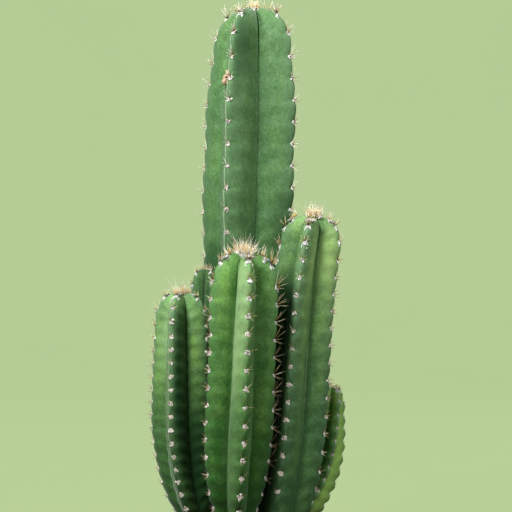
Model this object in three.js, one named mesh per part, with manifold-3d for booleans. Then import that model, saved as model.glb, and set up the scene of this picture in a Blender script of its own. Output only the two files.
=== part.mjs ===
// A clump of columnar torch cactus, cut flat through the woody crown that all its stems grow from.
// Millimetres, +Z up, the origin on the cut face under the tall stem's axis. The front of the clump faces -Y.
// Angles round a stem are degrees from its front, positive towards +X.
import * as THREE from "three";
import { mergeVertices } from "three/addons/utils/BufferGeometryUtils.js";
import Module from "manifold-3d";

const wasm = await Module();
wasm.setup();

// ---- driving dimensions -------------------------------------------------------------------------

const SEAT_GAP = 0.3; // clearance that seated pieces keep to each other
const CUT_WOOD = 9; // height of the stems' feet above the cut face

// Each stem: its axis from foot to tip, [height, rib radius] stations, the directions of its ribs at the foot
// and their turn up to the tip, how far each rib's areoles lag as a share of the step between areoles, that
// step, the distance from the tip to the first areoles, the height of the domed tip, the depth of the notches
// at the areoles, the usual spine, the tuft of wool and spines on the tip and the skin's colour.
const STEMS = [
  {
    name: "main_stem",
    route: [
      [0, 0, CUT_WOOD], [-1, 0, 90], [-3, 0, 200], [-3.4, 0, 300], [-1.4, 0, 360], [1.3, 0, 440],
      [4, 0, 540],
    ],
    girths: [
      [9, 39], [70, 43], [160, 46], [250, 46], [300, 47], [355, 50.8], [398, 49.4], [435, 50.8], [464, 48],
      [494, 44.2],
    ],
    ribs: [-108, -20, 67, 158],
    twist: -8,
    lags: [0.1, 0, -0.12, 0.05],
    step: 21.4,
    firstAreole: 25,
    dome: 47,
    notch: 3.2,
    spine: 11,
    tuft: { radius: 10.5, rise: 6.5, needles: 16, length: 13 },
    color: 0x4a8450,
  },
  {
    name: "front_stem",
    route: [
      [-13, -63, CUT_WOOD], [-14, -71, 45], [-13.4, -80, 80], [-11, -87, 130], [-9, -91, 170],
      [-7.5, -93, 215], [-4.5, -94, 296],
    ],
    girths: [
      [9, 15], [35, 17.5], [49, 22], [66, 27.2], [82, 29.8], [100, 32.1], [127, 33.7], [212, 32.7],
      [245, 33.7], [257, 33],
    ],
    ribs: [-138, -70, 11, 86, 152],
    twist: 0,
    lags: [-0.3, 0.2, 0, 0.4, 0.1],
    step: 17,
    firstAreole: 17,
    dome: 39,
    notch: 2.6,
    spine: 11,
    tuft: { radius: 10.5, rise: 6.5, needles: 18, length: 14 },
    color: 0x568f45,
  },
  {
    name: "right_stem",
    route: [
      [23, -50, CUT_WOOD], [29, -53, 45], [37.5, -54, 95], [43, -53, 152], [47, -52, 205], [51, -51, 250],
      [58, -50, 298], [63, -50, 332],
    ],
    girths: [
      [9, 19], [30, 24], [47, 29.2], [80, 32.7], [108, 33.4], [152, 33.6], [200, 32.6], [249, 31.8],
      [300, 30.3],
    ],
    ribs: [-98, -12, 80, 170],
    twist: 0,
    lags: [0.3, 0, -0.3, 0.15],
    step: 17,
    firstAreole: 15,
    dome: 33,
    notch: 2.6,
    spine: 10,
    tuft: { radius: 9.2, rise: 6, needles: 16, length: 9 },
    color: 0x4d8a4b,
  },
  {
    name: "left_stem",
    route: [
      [-49, -43, CUT_WOOD], [-53, -46, 43], [-57.6, -48, 57], [-62.8, -50, 84], [-66.2, -53, 120],
      [-66.7, -55, 152], [-66.6, -56, 200], [-66.5, -56, 257],
    ],
    girths: [
      [9, 13], [35, 15], [46, 18.6], [57, 22.6], [84, 27.4], [122, 30.4], [151, 30.3], [200, 28.4], [226, 27],
    ],
    ribs: [-105, -15, 74, 165],
    twist: -3,
    lags: [0.25, 0, 0.3, -0.15],
    step: 13.8,
    firstAreole: 13,
    dome: 31,
    notch: 2,
    spine: 8,
    tuft: { radius: 8, rise: 5, needles: 13, length: 8 },
    color: 0x4f8c45,
  },
  {
    name: "rear_left_stem",
    route: [[-44, -14, CUT_WOOD], [-43, -14, 90], [-42.5, -14, 180], [-42, -14, 280]],
    girths: [[9, 10.5], [40, 12], [80, 16], [140, 17.3], [230, 17.3], [258, 16.8]],
    ribs: [-72, 18, 108, 198],
    twist: 0,
    lags: [0.2, 0, 0.3, -0.1],
    step: 18,
    firstAreole: 11,
    dome: 22,
    notch: 1.6,
    spine: 7,
    tuft: { radius: 5.5, rise: 4, needles: 9, length: 7 },
    color: 0x47803f,
  },
  {
    name: "far_right_stem",
    route: [
      [51, 14, CUT_WOOD], [55, 13, 34], [60, 11, 48], [65, 10, 60], [71, 8, 76], [76.3, 6, 100],
      [79.5, 5, 128], [82, 4, 162],
    ],
    girths: [[9, 11], [37, 15.8], [50, 18.2], [76, 19.6], [100, 19.4], [122, 18], [136, 16.5]],
    ribs: [-94, 1, 72, 166],
    twist: 48,
    lags: [0.3, 0, 0.2, -0.2],
    step: 14.2,
    firstAreole: 10,
    dome: 26,
    notch: 1.8,
    spine: 7,
    tuft: { radius: 5, rise: 3.5, needles: 9, length: 6 },
    color: 0x64913a,
  },
];

// Ribs. The grooves' depth is a share of the rib radius, at [share of the stem's length] from foot to tip.
const GROOVE_SHARES = [[0, 0.82], [0.12, 0.62], [0.3, 0.5], [0.7, 0.42], [1, 0.34]];
const RIB_COLUMNS = [0, 0.27, 0.5, 0.73]; // shares of the way between crests: crest, flank, groove, flank
const FLANK_POWER = 1.1; // 1 makes full ribs with sharp grooves between, more makes them thinner
const CREST_POWER = 8; // how closely the notches keep to the crest
const DOME_POWER = 2.35; // 2 makes a half ellipse, more a blunter tip
const DIMPLE = 3; // depth of the hollow under a tuft
const TIP_RINGS = [0.45, 0.75]; // shares of the way from the first areoles to the apex

// Areoles and their spines.
const BARE_FOOT = 9; // a stem stays bare this far up and two more steps between areoles
const BARE_STEPS = 2;
const CLOSE_STEPS = 2; // as many steps from the tip down are shorter
const CLOSE_STEP = 0.85;
const SWELL_PEAK = 0.33; // where between two areoles, from the upper one down, a rib swells most
const PAD_HALF_HEIGHT = 3.1; // an areole's felt pad
const PAD_HALF_WIDTH = 2.7;
const PAD_RISE = 1;
const SPINE_ROOT = 0.75; // radius of the three spine roots that share the middle of a pad
const SPINE_DIRECTIONS = [[-0.62, 0.5, 0.6], [0.1, -0.55, 0.83], [0.62, 0.42, 0.66]]; // sideways, up and out
const SPINE_WANDER = 0.3;
const SPINE_LENGTHS = [0.75, 1.25]; // shortest and longest, as shares of a stem's usual spine
const OLD_SPINE = 0.55; // the share of a spine that is left near the foot
const SPINE_CUTS = [1, 0.75, 0.55, 0.35]; // shares of its length that a spine in a tight place may have
const SPINE_STUB = 0.6;
const SPINE_CLEAR = 1.2; // room that a spine keeps to the half-way surface between two stems
const SPINE_SEED = 41;

// Tufts.
const NEEDLE_RADIUS = 0.7;
const NEEDLE_LEAN = [0.1, 0.88]; // from upright, in radians, for the innermost and the outermost needle
const GOLDEN_TURN = THREE.MathUtils.degToRad(137.5);

// The woody crown: a low mound with a lobe round the foot of every stem.
const CROWN_SIDES = 26;
const CROWN_BODY_RADIUS = 47;
const CROWN_COLLAR = 9; // wood round each stem's foot
const CROWN_PROFILE = [[0.94, 0], [1, 7], [0.95, 16], [0.8, 23], [0.5, 27]]; // [share of the outline, height]
const CROWN_TOP = 28;

// ---- helpers ------------------------------------------------------------------------------------

const { clamp, degToRad, euclideanModulo, lerp, radToDeg, smoothstep } = THREE.MathUtils;

// A repeatable random number from 0 to 1.
function seededRandom(seed) {
  let state = seed;
  return () => {
    state = (state * 1664525 + 1013904223) % 2 ** 32;
    return state / 2 ** 32;
  };
}

// A smooth curve through [x, y] stations, level beyond both ends.
function through(stations, x) {
  const last = stations.length - 1;
  if (x <= stations[0][0]) return stations[0][1];
  if (x >= stations[last][0]) return stations[last][1];
  const slope = (j) => {
    if (j <= 0 || j >= last) return 0;
    return (stations[j + 1][1] - stations[j - 1][1]) / (stations[j + 1][0] - stations[j - 1][0]);
  };
  const i = stations.findIndex((station) => station[0] > x) - 1;
  const width = stations[i + 1][0] - stations[i][0];
  const t = (x - stations[i][0]) / width;
  const leave = t * (1 - t) * (1 - t) * width * slope(i);
  const arrive = t * t * (t - 1) * width * slope(i + 1);
  return lerp(stations[i][1], stations[i + 1][1], t * t * (3 - 2 * t)) + leave + arrive;
}

function solidOf(geometry) {
  const bare = new THREE.BufferGeometry().setAttribute("position", geometry.getAttribute("position"));
  if (geometry.index) bare.setIndex(geometry.index);
  const merged = mergeVertices(bare, 1e-4);
  const vertProperties = new Float32Array(merged.getAttribute("position").array);
  const triVerts = new Uint32Array(merged.index.array);
  return new wasm.Manifold(new wasm.Mesh({ numProp: 3, vertProperties, triVerts }));
}

function geometryOf(solid) {
  const mesh = solid.getMesh();
  return new THREE.BufferGeometry()
    .setAttribute("position", new THREE.BufferAttribute(new Float32Array(mesh.vertProperties), 3))
    .setIndex(new THREE.BufferAttribute(new Uint32Array(mesh.triVerts), 1));
}

// A surface that is woven face by face from points that its faces share.
class Weave {
  constructor() {
    this.points = [];
    this.faces = [];
  }

  point(position) {
    return this.points.push(position) - 1;
  }

  fan(hub, rim) {
    for (let i = 0; i + 1 < rim.length; i += 1) this.faces.push(hub, rim[i], rim[i + 1]);
  }

  closeBelow(position, ring) {
    this.fan(this.point(position), [...ring, ring[0]].reverse());
  }

  closeAbove(position, ring) {
    this.fan(this.point(position), [...ring, ring[0]]);
  }

  solid() {
    return solidOf(new THREE.BufferGeometry().setFromPoints(this.points).setIndex(this.faces));
  }
}

// ---- the shape of one stem ----------------------------------------------------------------------

class Stem {
  constructor(plan) {
    Object.assign(this, plan);
    this.axis = new THREE.CatmullRomCurve3(plan.route.map((point) => new THREE.Vector3(...point)));
    this.length = this.axis.getLength();
    this.shoulder = this.length - this.dome; // where the upright flanks end and the domed tip starts
    this.shoulderRadius = this.radiusAt(this.shoulder);
    this.domeArc = (Math.PI / 2) * Math.sqrt((this.shoulderRadius ** 2 + this.dome ** 2) / 2);
    this.reach = this.shoulder + this.domeArc; // from the foot to the apex, measured over the crest of a rib
    this.areoles = this.areoleSteps();
    this.trace = this.axis.getSpacedPoints(Math.ceil(this.length / 3));
  }

  radiusAt(along) {
    return through(this.girths, this.axis.getPointAt(clamp(along / this.length, 0, 1)).z);
  }

  // Distances over the crest, from the tip down to the foot, at which the areoles sit.
  areoleSteps() {
    const steps = [];
    let at = this.reach - this.firstAreole;
    while (at > BARE_STEPS * this.step + BARE_FOOT) {
      steps.push(at);
      at -= this.step * (steps.length <= CLOSE_STEPS ? CLOSE_STEP : 1);
    }
    return steps;
  }

  // The envelope that the crests touch: radius and distance along the axis, with its outward normal.
  envelope(over) {
    if (over <= this.shoulder) return { radius: this.radiusAt(over), along: over, outward: 1, upward: 0 };
    const turn = Math.min((over - this.shoulder) / this.domeArc, 1) * (Math.PI / 2);
    const across = Math.max(Math.cos(turn), 0) ** (2 / DOME_POWER);
    const up = Math.sin(turn) ** (2 / DOME_POWER);
    const normal = new THREE.Vector2(
      across ** (DOME_POWER - 1) / this.shoulderRadius,
      up ** (DOME_POWER - 1) / this.dome,
    ).normalize();
    return {
      radius: this.shoulderRadius * across,
      along: this.shoulder + this.dome * up,
      outward: normal.x,
      upward: normal.y,
    };
  }

  // The directions of two neighbouring ribs, and their places in the list.
  gap(i) {
    const next = (i + 1) % this.ribs.length;
    return { from: this.ribs[i], to: this.ribs[next] + (next === 0 ? 360 : 0), i, next };
  }

  // How the skin lies between the ribs beside it: 1 on a crest, 0 in a groove, with the lag of the areoles.
  betweenRibs(degrees) {
    const turned = (from) => euclideanModulo(degrees - from, 360);
    const gaps = this.ribs.map((_, rib) => this.gap(rib));
    const { from, to, i, next } = gaps.find((gap) => turned(gap.from) <= gap.to - gap.from);
    const share = turned(from) / (to - from);
    return { crest: Math.abs(2 * share - 1), lag: lerp(this.lags[i], this.lags[next], share) };
  }

  // How far the rib has swollen at a distance over the crest: 0 at an areole, 1 where it is fullest.
  swelling(over) {
    const below = this.areoles.findIndex((at) => at <= over);
    if (below === 0) return 1 - SWELL_PEAK;
    const upper = this.areoles.at(below < 0 ? -1 : below - 1);
    const lower = below < 0 ? upper - this.step : this.areoles[below];
    const share = clamp((upper - over) / (upper - lower), 0, 1);
    return Math.sin(Math.PI * share ** (Math.log(0.5) / Math.log(SWELL_PEAK)));
  }

  // A point of the skin, at a distance over the crests and an angle. grow moves it out along the surface.
  skin(over, degrees, grow = 0) {
    const { crest, lag } = this.betweenRibs(degrees);
    const nearTip = smoothstep(over, this.reach - this.firstAreole, this.reach);
    const grown = smoothstep(over, 0, BARE_STEPS * this.step) * (1 - nearTip);
    const here = this.envelope(clamp(over - lag * this.step * grown, 0, this.reach));
    const groove = through(GROOVE_SHARES, here.along / this.length);
    const rib = here.radius * (1 - groove) * (1 - crest ** FLANK_POWER);
    const notch = this.notch * grown * (1 - this.swelling(over)) * crest ** CREST_POWER;
    const inset = rib + notch - grow;
    const dimple = DIMPLE * Math.max(0, 1 - here.radius / this.tuft.radius) ** 2;
    const radius = Math.max(here.radius - inset * here.outward, 0);
    return this.place(here.along - inset * here.upward - dimple, radius, degrees);
  }

  // A point beside the axis, at a distance along it, a radius and an angle, which the stem's twist turns.
  place(along, radius, degrees) {
    const share = clamp(along / this.length, 0, 1);
    const tangent = this.axis.getTangentAt(share);
    const right = new THREE.Vector3(1, 0, 0).addScaledVector(tangent, -tangent.x).normalize();
    const front = new THREE.Vector3().crossVectors(right, tangent).normalize();
    const angle = degToRad(degrees + this.twist * share);
    return this.axis
      .getPointAt(share)
      .addScaledVector(tangent, along - share * this.length)
      .addScaledVector(right, radius * Math.sin(angle))
      .addScaledVector(front, radius * Math.cos(angle));
  }

  // How far a point lies outside the crests of this stem.
  clearance(point) {
    const distances = this.trace.map((onAxis, i) => {
      const along = (i / (this.trace.length - 1)) * this.length;
      return point.distanceTo(onAxis) - this.radiusAt(Math.min(along, this.shoulder));
    });
    return Math.min(...distances);
  }
}

// ---- the skin of a stem, with the pads and spines that rise from it -----------------------------

// The levels of the skin's rings, from the foot up: one at each areole and one at the swelling under it.
function ringLevels(stem) {
  const { areoles, reach, step } = stem;
  const levels = areoles.flatMap((at, i) => {
    const next = areoles[i + 1] ?? at - step;
    return [{ over: at, areole: true }, { over: lerp(at, next, SWELL_PEAK), areole: false }];
  });
  const bareFoot = levels.at(-1).over;
  const bare = [0, bareFoot / 2, ...TIP_RINGS.map((share) => lerp(areoles[0], reach, share))];
  levels.push(...bare.map((over) => ({ over, areole: false })));
  return levels.sort((a, b) => a.over - b.over);
}

function columnAngles(stem) {
  return stem.ribs.flatMap((_, i) => {
    const { from, to } = stem.gap(i);
    return RIB_COLUMNS.map((share) => lerp(from, to, share));
  });
}

// A spine's tip. In a tight place the spine is cut short, to stay on its own side of the half-way surface.
function spineTip(stem, others, root, direction, length) {
  const tips = SPINE_CUTS.map((cut) => root.clone().addScaledVector(direction, length * cut));
  const clear = (tip) => {
    const own = Math.max(stem.clearance(tip), 0);
    return others.every((other) => other.clearance(tip) > own + SPINE_CLEAR);
  };
  return tips.find(clear) ?? root.clone().addScaledVector(direction, SPINE_STUB);
}

// A felt pad on a crest, between its four corners, with three spines that share its middle.
function weaveAreole(weave, stem, others, { over, degrees, grow, corners, random }) {
  const up = stem.skin(over + 2, degrees).sub(stem.skin(over - 2, degrees)).normalize();
  const side = stem.skin(over, degrees + 4).sub(stem.skin(over, degrees - 4)).normalize();
  const out = new THREE.Vector3().crossVectors(side, up).normalize();
  const toward = (sideways, upward, outward) => {
    const way = side.clone().multiplyScalar(sideways);
    return way.addScaledVector(up, upward).addScaledVector(out, outward);
  };
  const heart = stem.skin(over, degrees, grow).addScaledVector(out, PAD_RISE);
  const [top, left, right] = [90, 210, 330].map(degToRad).map((turn) => {
    const root = toward(Math.cos(turn), Math.sin(turn), 0).multiplyScalar(SPINE_ROOT + grow);
    return weave.point(root.add(heart));
  });
  const middle = weave.point(heart.clone().addScaledVector(out, SEAT_GAP / 2));
  const { east, north, west, south } = corners;
  weave.fan(top, [right, east, north, west, left]);
  weave.fan(left, [west, south, right]);
  weave.fan(east, [right, south]);
  const age = lerp(OLD_SPINE, 1, (over / stem.reach) ** 1.5);
  const crowded = Math.max(0, 1 - (stem.reach - over) / (2 * stem.tuft.radius)); // spines lean off the tuft
  [[top, left], [left, right], [right, top]].forEach(([a, b], i) => {
    const [sideways, upward, outward] = SPINE_DIRECTIONS[i];
    const wander = () => SPINE_WANDER * (random() - 0.5);
    const rise = upward * (1 - 1.5 * crowded) + wander();
    const direction = toward(sideways + wander(), rise, outward).normalize();
    const length = stem.spine * age * lerp(...SPINE_LENGTHS, random());
    const tip = spineTip(stem, others, heart, direction, length).addScaledVector(direction, grow);
    weave.closeAbove(tip, [a, b, middle]);
  });
}

// One cell of the skin between two rings and two columns, with a corner cut off where it meets a pad.
function weaveCell(weave, pads, corners) {
  const touched = corners.findIndex(({ key }) => pads.has(key));
  const loop = corners.flatMap(({ key, point, cut }) => {
    const pad = pads.get(key);
    return pad ? cut.map((name) => pad[name]) : [point];
  });
  // The fan starts from the corner opposite the pad, so that no sliver crosses the pad's edge.
  const hub = touched < 0 ? 0 : (touched + 3) % loop.length;
  weave.fan(loop[hub], [...loop.slice(hub + 1), ...loop.slice(0, hub)]);
}

// The closed skin of a stem. Each crest carries felt pads whose spines rise from the skin itself.
function skinSolid(stem, others, grow = 0) {
  const weave = new Weave();
  const angles = columnAngles(stem);
  const levels = ringLevels(stem);
  const random = seededRandom(SPINE_SEED);
  const ringAt = (over) => angles.map((degrees) => weave.point(stem.skin(over, degrees, grow)));
  const rings = levels.map(({ over }) => ringAt(over));
  const pads = new Map(); // the corners of each pad, by ring and column
  const keyOf = (i, j) => `${i},${j}`;

  levels.forEach(({ over, areole }, i) => {
    if (!areole) return;
    stem.ribs.forEach((_, rib) => {
      const j = rib * RIB_COLUMNS.length;
      const degrees = angles[j];
      const spread = radToDeg((PAD_HALF_WIDTH + grow) / stem.envelope(over).radius);
      const reach = PAD_HALF_HEIGHT + grow;
      const corners = {
        east: weave.point(stem.skin(over, degrees + spread, grow)),
        north: weave.point(stem.skin(over + reach, degrees, grow)),
        west: weave.point(stem.skin(over, degrees - spread, grow)),
        south: weave.point(stem.skin(over - reach, degrees, grow)),
      };
      pads.set(keyOf(i, j), corners);
      weaveAreole(weave, stem, others, { over, degrees, grow, corners, random });
    });
  });
  for (let i = 0; i + 1 < rings.length; i += 1) {
    angles.forEach((_, j) => {
      const k = (j + 1) % angles.length;
      weaveCell(weave, pads, [
        { key: keyOf(i, j), point: rings[i][j], cut: ["north", "east"] },
        { key: keyOf(i, k), point: rings[i][k], cut: ["west", "north"] },
        { key: keyOf(i + 1, k), point: rings[i + 1][k], cut: ["south", "west"] },
        { key: keyOf(i + 1, j), point: rings[i + 1][j], cut: ["east", "south"] },
      ]);
    });
  }
  weave.closeBelow(stem.place(-grow, 0, 0), rings[0]);
  weave.closeAbove(stem.skin(stem.reach, stem.ribs[0], grow), rings.at(-1));
  return weave.solid();
}

// ---- the tuft of wool and young spines on a tip -------------------------------------------------

function tuftSolid(stem, roomySkin) {
  const { radius, rise, needles, length } = stem.tuft;
  const apex = stem.skin(stem.reach, stem.ribs[0]);
  const tipWay = stem.axis.getTangentAt(1);
  const upright = new THREE.Quaternion().setFromUnitVectors(new THREE.Vector3(0, 0, 1), tipWay);
  const seat = (geometry) => solidOf(geometry.applyQuaternion(upright).translate(apex.x, apex.y, apex.z));
  const cushion = new THREE.SphereGeometry(1, 9, 6).rotateX(Math.PI / 2);
  let tuft = seat(cushion.scale(radius, radius, rise + DIMPLE));
  for (let i = 0; i < needles; i += 1) {
    const needle = new THREE.ConeGeometry(NEEDLE_RADIUS, length, 3)
      .rotateX(Math.PI / 2)
      .translate(0, 0, (length + rise) / 2)
      .rotateY(lerp(...NEEDLE_LEAN, Math.sqrt((i + 0.5) / needles)))
      .rotateZ(i * GOLDEN_TURN);
    tuft = tuft.add(seat(needle));
  }
  const pieces = tuft.subtract(roomySkin).decompose();
  return pieces.reduce((largest, piece) => (piece.volume() > largest.volume() ? piece : largest));
}

// ---- the woody crown under the stems ------------------------------------------------------------

// How far the crown reaches in one direction: its body's radius, or the far side of a lobe there.
function crownReach(degrees, stems) {
  const way = new THREE.Vector2(Math.sin(degToRad(degrees)), -Math.cos(degToRad(degrees)));
  return stems.reduce((widest, stem) => {
    const foot = new THREE.Vector2(stem.route[0][0], stem.route[0][1]);
    const lobe = stem.radiusAt(0) + CROWN_COLLAR;
    const ahead = foot.dot(way);
    const aside = foot.cross(way);
    if (Math.abs(aside) >= lobe || ahead <= 0) return widest;
    return Math.max(widest, ahead + Math.sqrt(lobe ** 2 - aside ** 2));
  }, CROWN_BODY_RADIUS);
}

function crownSolid(stems) {
  const weave = new Weave();
  const bearings = Array.from({ length: CROWN_SIDES }, (_, i) => (i * 360) / CROWN_SIDES);
  const lobed = bearings.map((degrees) => crownReach(degrees, stems));
  const rounded = lobed.map((reach, i) => {
    const neighbours = lobed.at(i - 1) + lobed[(i + 1) % CROWN_SIDES];
    return reach / 2 + neighbours / 4;
  });
  const rings = CROWN_PROFILE.map(([share, height]) =>
    bearings.map((degrees, i) => {
      const reach = rounded[i] * share;
      const angle = degToRad(degrees);
      return weave.point(new THREE.Vector3(reach * Math.sin(angle), -reach * Math.cos(angle), height));
    }),
  );
  for (let i = 0; i + 1 < rings.length; i += 1) {
    bearings.forEach((_, j) => {
      const k = (j + 1) % CROWN_SIDES;
      weave.fan(rings[i][j], [rings[i][k], rings[i + 1][k], rings[i + 1][j]]);
    });
  }
  weave.closeBelow(new THREE.Vector3(0, 0, 0), rings[0]);
  weave.closeAbove(new THREE.Vector3(0, 0, CROWN_TOP), rings.at(-1));
  return weave.solid();
}

// ---- the clump ----------------------------------------------------------------------------------

function named(name, solid, { color, roughness }) {
  const material = new THREE.MeshStandardMaterial({ color, roughness, metalness: 0 });
  const mesh = new THREE.Mesh(geometryOf(solid), material);
  mesh.name = name;
  return mesh;
}

function buildClump() {
  const clump = new THREE.Group();
  const stems = STEMS.map((plan) => new Stem(plan));
  let crown = crownSolid(stems);
  stems.forEach((stem) => {
    const others = stems.filter((other) => other !== stem);
    const roomy = skinSolid(stem, others, SEAT_GAP);
    const tuftName = stem.name.replace("stem", "tuft");
    clump.add(named(stem.name, skinSolid(stem, others), { color: stem.color, roughness: 0.5 }));
    clump.add(named(tuftName, tuftSolid(stem, roomy), { color: 0xe3cf9c, roughness: 0.95 }));
    crown = crown.subtract(roomy);
  });
  clump.add(named("root_crown", crown, { color: 0x7b6a4f, roughness: 0.95 }));
  return clump;
}

export default buildClump();
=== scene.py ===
"""A clump of columnar torch cactus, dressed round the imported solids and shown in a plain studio.

Sizes in the tables are millimetres and degrees, as in the part's own source, and every mesh is written in
metres. Angles round a stem are measured from its front, positive towards +X. The clump's front faces -Y.
"""
import logging
import math
from dataclasses import dataclass
from enum import Enum

import bmesh
import bpy
import numpy as np
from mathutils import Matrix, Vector


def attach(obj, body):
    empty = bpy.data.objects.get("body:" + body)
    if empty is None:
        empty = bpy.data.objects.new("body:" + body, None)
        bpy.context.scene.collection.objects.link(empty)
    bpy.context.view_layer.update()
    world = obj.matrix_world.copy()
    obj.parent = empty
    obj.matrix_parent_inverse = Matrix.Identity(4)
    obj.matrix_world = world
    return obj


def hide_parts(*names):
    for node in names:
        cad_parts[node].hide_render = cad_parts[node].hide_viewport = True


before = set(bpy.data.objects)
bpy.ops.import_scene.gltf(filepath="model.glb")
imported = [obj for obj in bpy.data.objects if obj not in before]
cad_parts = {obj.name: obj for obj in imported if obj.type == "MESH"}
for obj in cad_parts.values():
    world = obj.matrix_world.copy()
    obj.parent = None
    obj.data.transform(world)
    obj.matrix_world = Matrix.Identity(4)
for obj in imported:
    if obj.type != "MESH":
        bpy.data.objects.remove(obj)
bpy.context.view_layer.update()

LOG = logging.getLogger("cactus")
MM = 0.001
BODY = "root"
GOLDEN_TURN = math.radians(137.5)
NEARLY_UPRIGHT = 0.9  # the upward part of a direction that counts as upright
CURL_TURN = 9.0  # radians of the wave of a curled needle
MERGE_DISTANCE = 1e-5
HAIR_RADIUS = 0.16
BEARD_HAIRS = 84  # below each young pad
Array = np.ndarray
Axes = tuple[Array, Array, Array]
Chance = np.random.Generator
Colour = tuple[float, float, float]
Stations = tuple[tuple[float, float], ...]
Material = bpy.types.Material
Node = bpy.types.Node
Piece = bpy.types.Object
Socket = bpy.types.NodeSocket


# ---- arithmetic ----


def smoothstep(value: Array, low: float, high: float) -> Array:
    """A smooth rise of values, from 0 at low to 1 at high."""
    share = np.clip((value - low) / (high - low), 0, 1)
    return share * share * (3 - 2 * share)


def lerp(start: Array, end: Array, share: Array) -> Array:
    """The number that lies a share of the way from start to end."""
    return start + (end - start) * share


def bell(away: Array, width: float) -> Array:
    """1 at no distance, and almost nothing beyond twice the width."""
    return np.exp(-((away / width) ** 2))


def wrapped(degrees: Array) -> Array:
    """The same angles, brought between -180 and 180 degrees."""
    return np.mod(degrees + 180, 360) - 180


def sunflower(count: int) -> tuple[Array, Array]:
    """Angles and distances of places that fill a disc of radius 1 evenly, like the seeds of a sunflower."""
    place = np.arange(count)
    return place * GOLDEN_TURN, np.sqrt((place + 0.5) / count)


def unit(vectors: Array) -> Array:
    """Vectors of length 1 in the given directions, one in each row."""
    return vectors / np.maximum(np.linalg.norm(vectors, axis=-1, keepdims=True), 1e-9)


def through(stations: Stations, at: Array) -> Array:
    """A smooth curve through stations, level beyond both ends.

    Args:
        stations: Pairs of a place and the value there, in rising order.
        at: The places to read.

    Returns:
        The values at those places.
    """
    places, values = np.array(stations, float).T
    slopes = np.zeros_like(values)
    slopes[1:-1] = (values[2:] - values[:-2]) / (places[2:] - places[:-2])
    inside = np.clip(at, places[0], places[-1])
    left = np.clip(np.searchsorted(places, inside, side="right") - 1, 0, len(places) - 2)
    width = places[left + 1] - places[left]
    share = (inside - places[left]) / width
    leave = share * (1 - share) ** 2 * width * slopes[left]
    arrive = share * share * (share - 1) * width * slopes[left + 1]
    return lerp(values[left], values[left + 1], share * share * (3 - 2 * share)) + leave + arrive


class AxisCurve:
    """The axis of a stem: a centripetal curve through the points of its route, read by arc length."""

    DIVISIONS = 200
    STEP = 1e-4  # of the curve's parameter, for its tangent

    def __init__(self, route: tuple[tuple[float, float, float], ...]) -> None:
        """Measures the curve.

        Args:
            route: The points that it passes through, from foot to tip.
        """
        points = np.array(route, float)
        before = 2 * points[0] - points[1]
        after = 2 * points[-1] - points[-2]
        self.points = np.vstack([before, points, after])
        self.spans = len(points) - 1
        self.marks = np.linspace(0, 1, self.DIVISIONS + 1)
        steps = np.linalg.norm(np.diff(self.at_parameter(self.marks), axis=0), axis=1)
        self.lengths = np.concatenate([[0.0], np.cumsum(steps)])
        self.length = float(self.lengths[-1])

    def at_parameter(self, parameter: Array) -> Array:
        """Points of the curve.

        Args:
            parameter: From 0 at the foot to 1 at the tip, with the same share for each span.

        Returns:
            One point in each row.
        """
        place = np.clip(parameter, 0, 1) * self.spans
        span = np.minimum(place.astype(int), self.spans - 1)
        share = (place - span)[:, None]
        p0, p1, p2, p3 = (self.points[span + k] for k in range(4))
        d0, d1, d2 = (
            (np.sum((b - a) ** 2, axis=1) ** 0.25)[:, None] for a, b in ((p0, p1), (p1, p2), (p2, p3))
        )
        leave = d1 * ((p1 - p0) / d0 - (p2 - p0) / (d0 + d1) + (p2 - p1) / d1)
        arrive = d1 * ((p2 - p1) / d1 - (p3 - p1) / (d1 + d2) + (p3 - p2) / d2)
        square = 3 * (p2 - p1) - 2 * leave - arrive
        cube = 2 * (p1 - p2) + leave + arrive
        return p1 + share * (leave + share * (square + share * cube))

    def parameter(self, share: Array) -> Array:
        """The curve's parameter at a share of its length."""
        return np.interp(np.clip(share, 0, 1) * self.length, self.lengths, self.marks)

    def point(self, share: Array) -> Array:
        """Points at shares of the length."""
        return self.at_parameter(self.parameter(share))

    def tangent(self, share: Array) -> Array:
        """Directions of length 1 along the curve, at shares of its length."""
        middle = self.parameter(share)
        return unit(self.at_parameter(middle + self.STEP) - self.at_parameter(middle - self.STEP))


# ---- shader node groups and finishes ----


class Attribute(str, Enum):
    """Values that the meshes carry for their materials."""

    CREST = "crest"  # 1 on the crest of a rib, 0 in a groove
    HUMP = "hump"  # 1 where a rib swells most between two areoles
    FELT = "felt"  # 1 under an areole
    YOUTH = "youth"  # 1 near the tip of a stem, 0 on old parts
    PAINTED_SHADE = "painted_shade"  # 1 where another stem stands close by, for painted shade between the stems
    CREASE = "crease"  # how deep the line in a groove is cut, and so how much shade is painted in it
    LINE = "line"  # 1 on the painted highlight line beside a crest
    MARK = "mark"  # 1 in the middle of painted light, -1 in the middle of painted shade
    ALONG = "along"  # from the root of a spine to its tip, or into the hollow of the scar
    TONE = "tone"  # a random number of each spine, hair or pad


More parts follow.
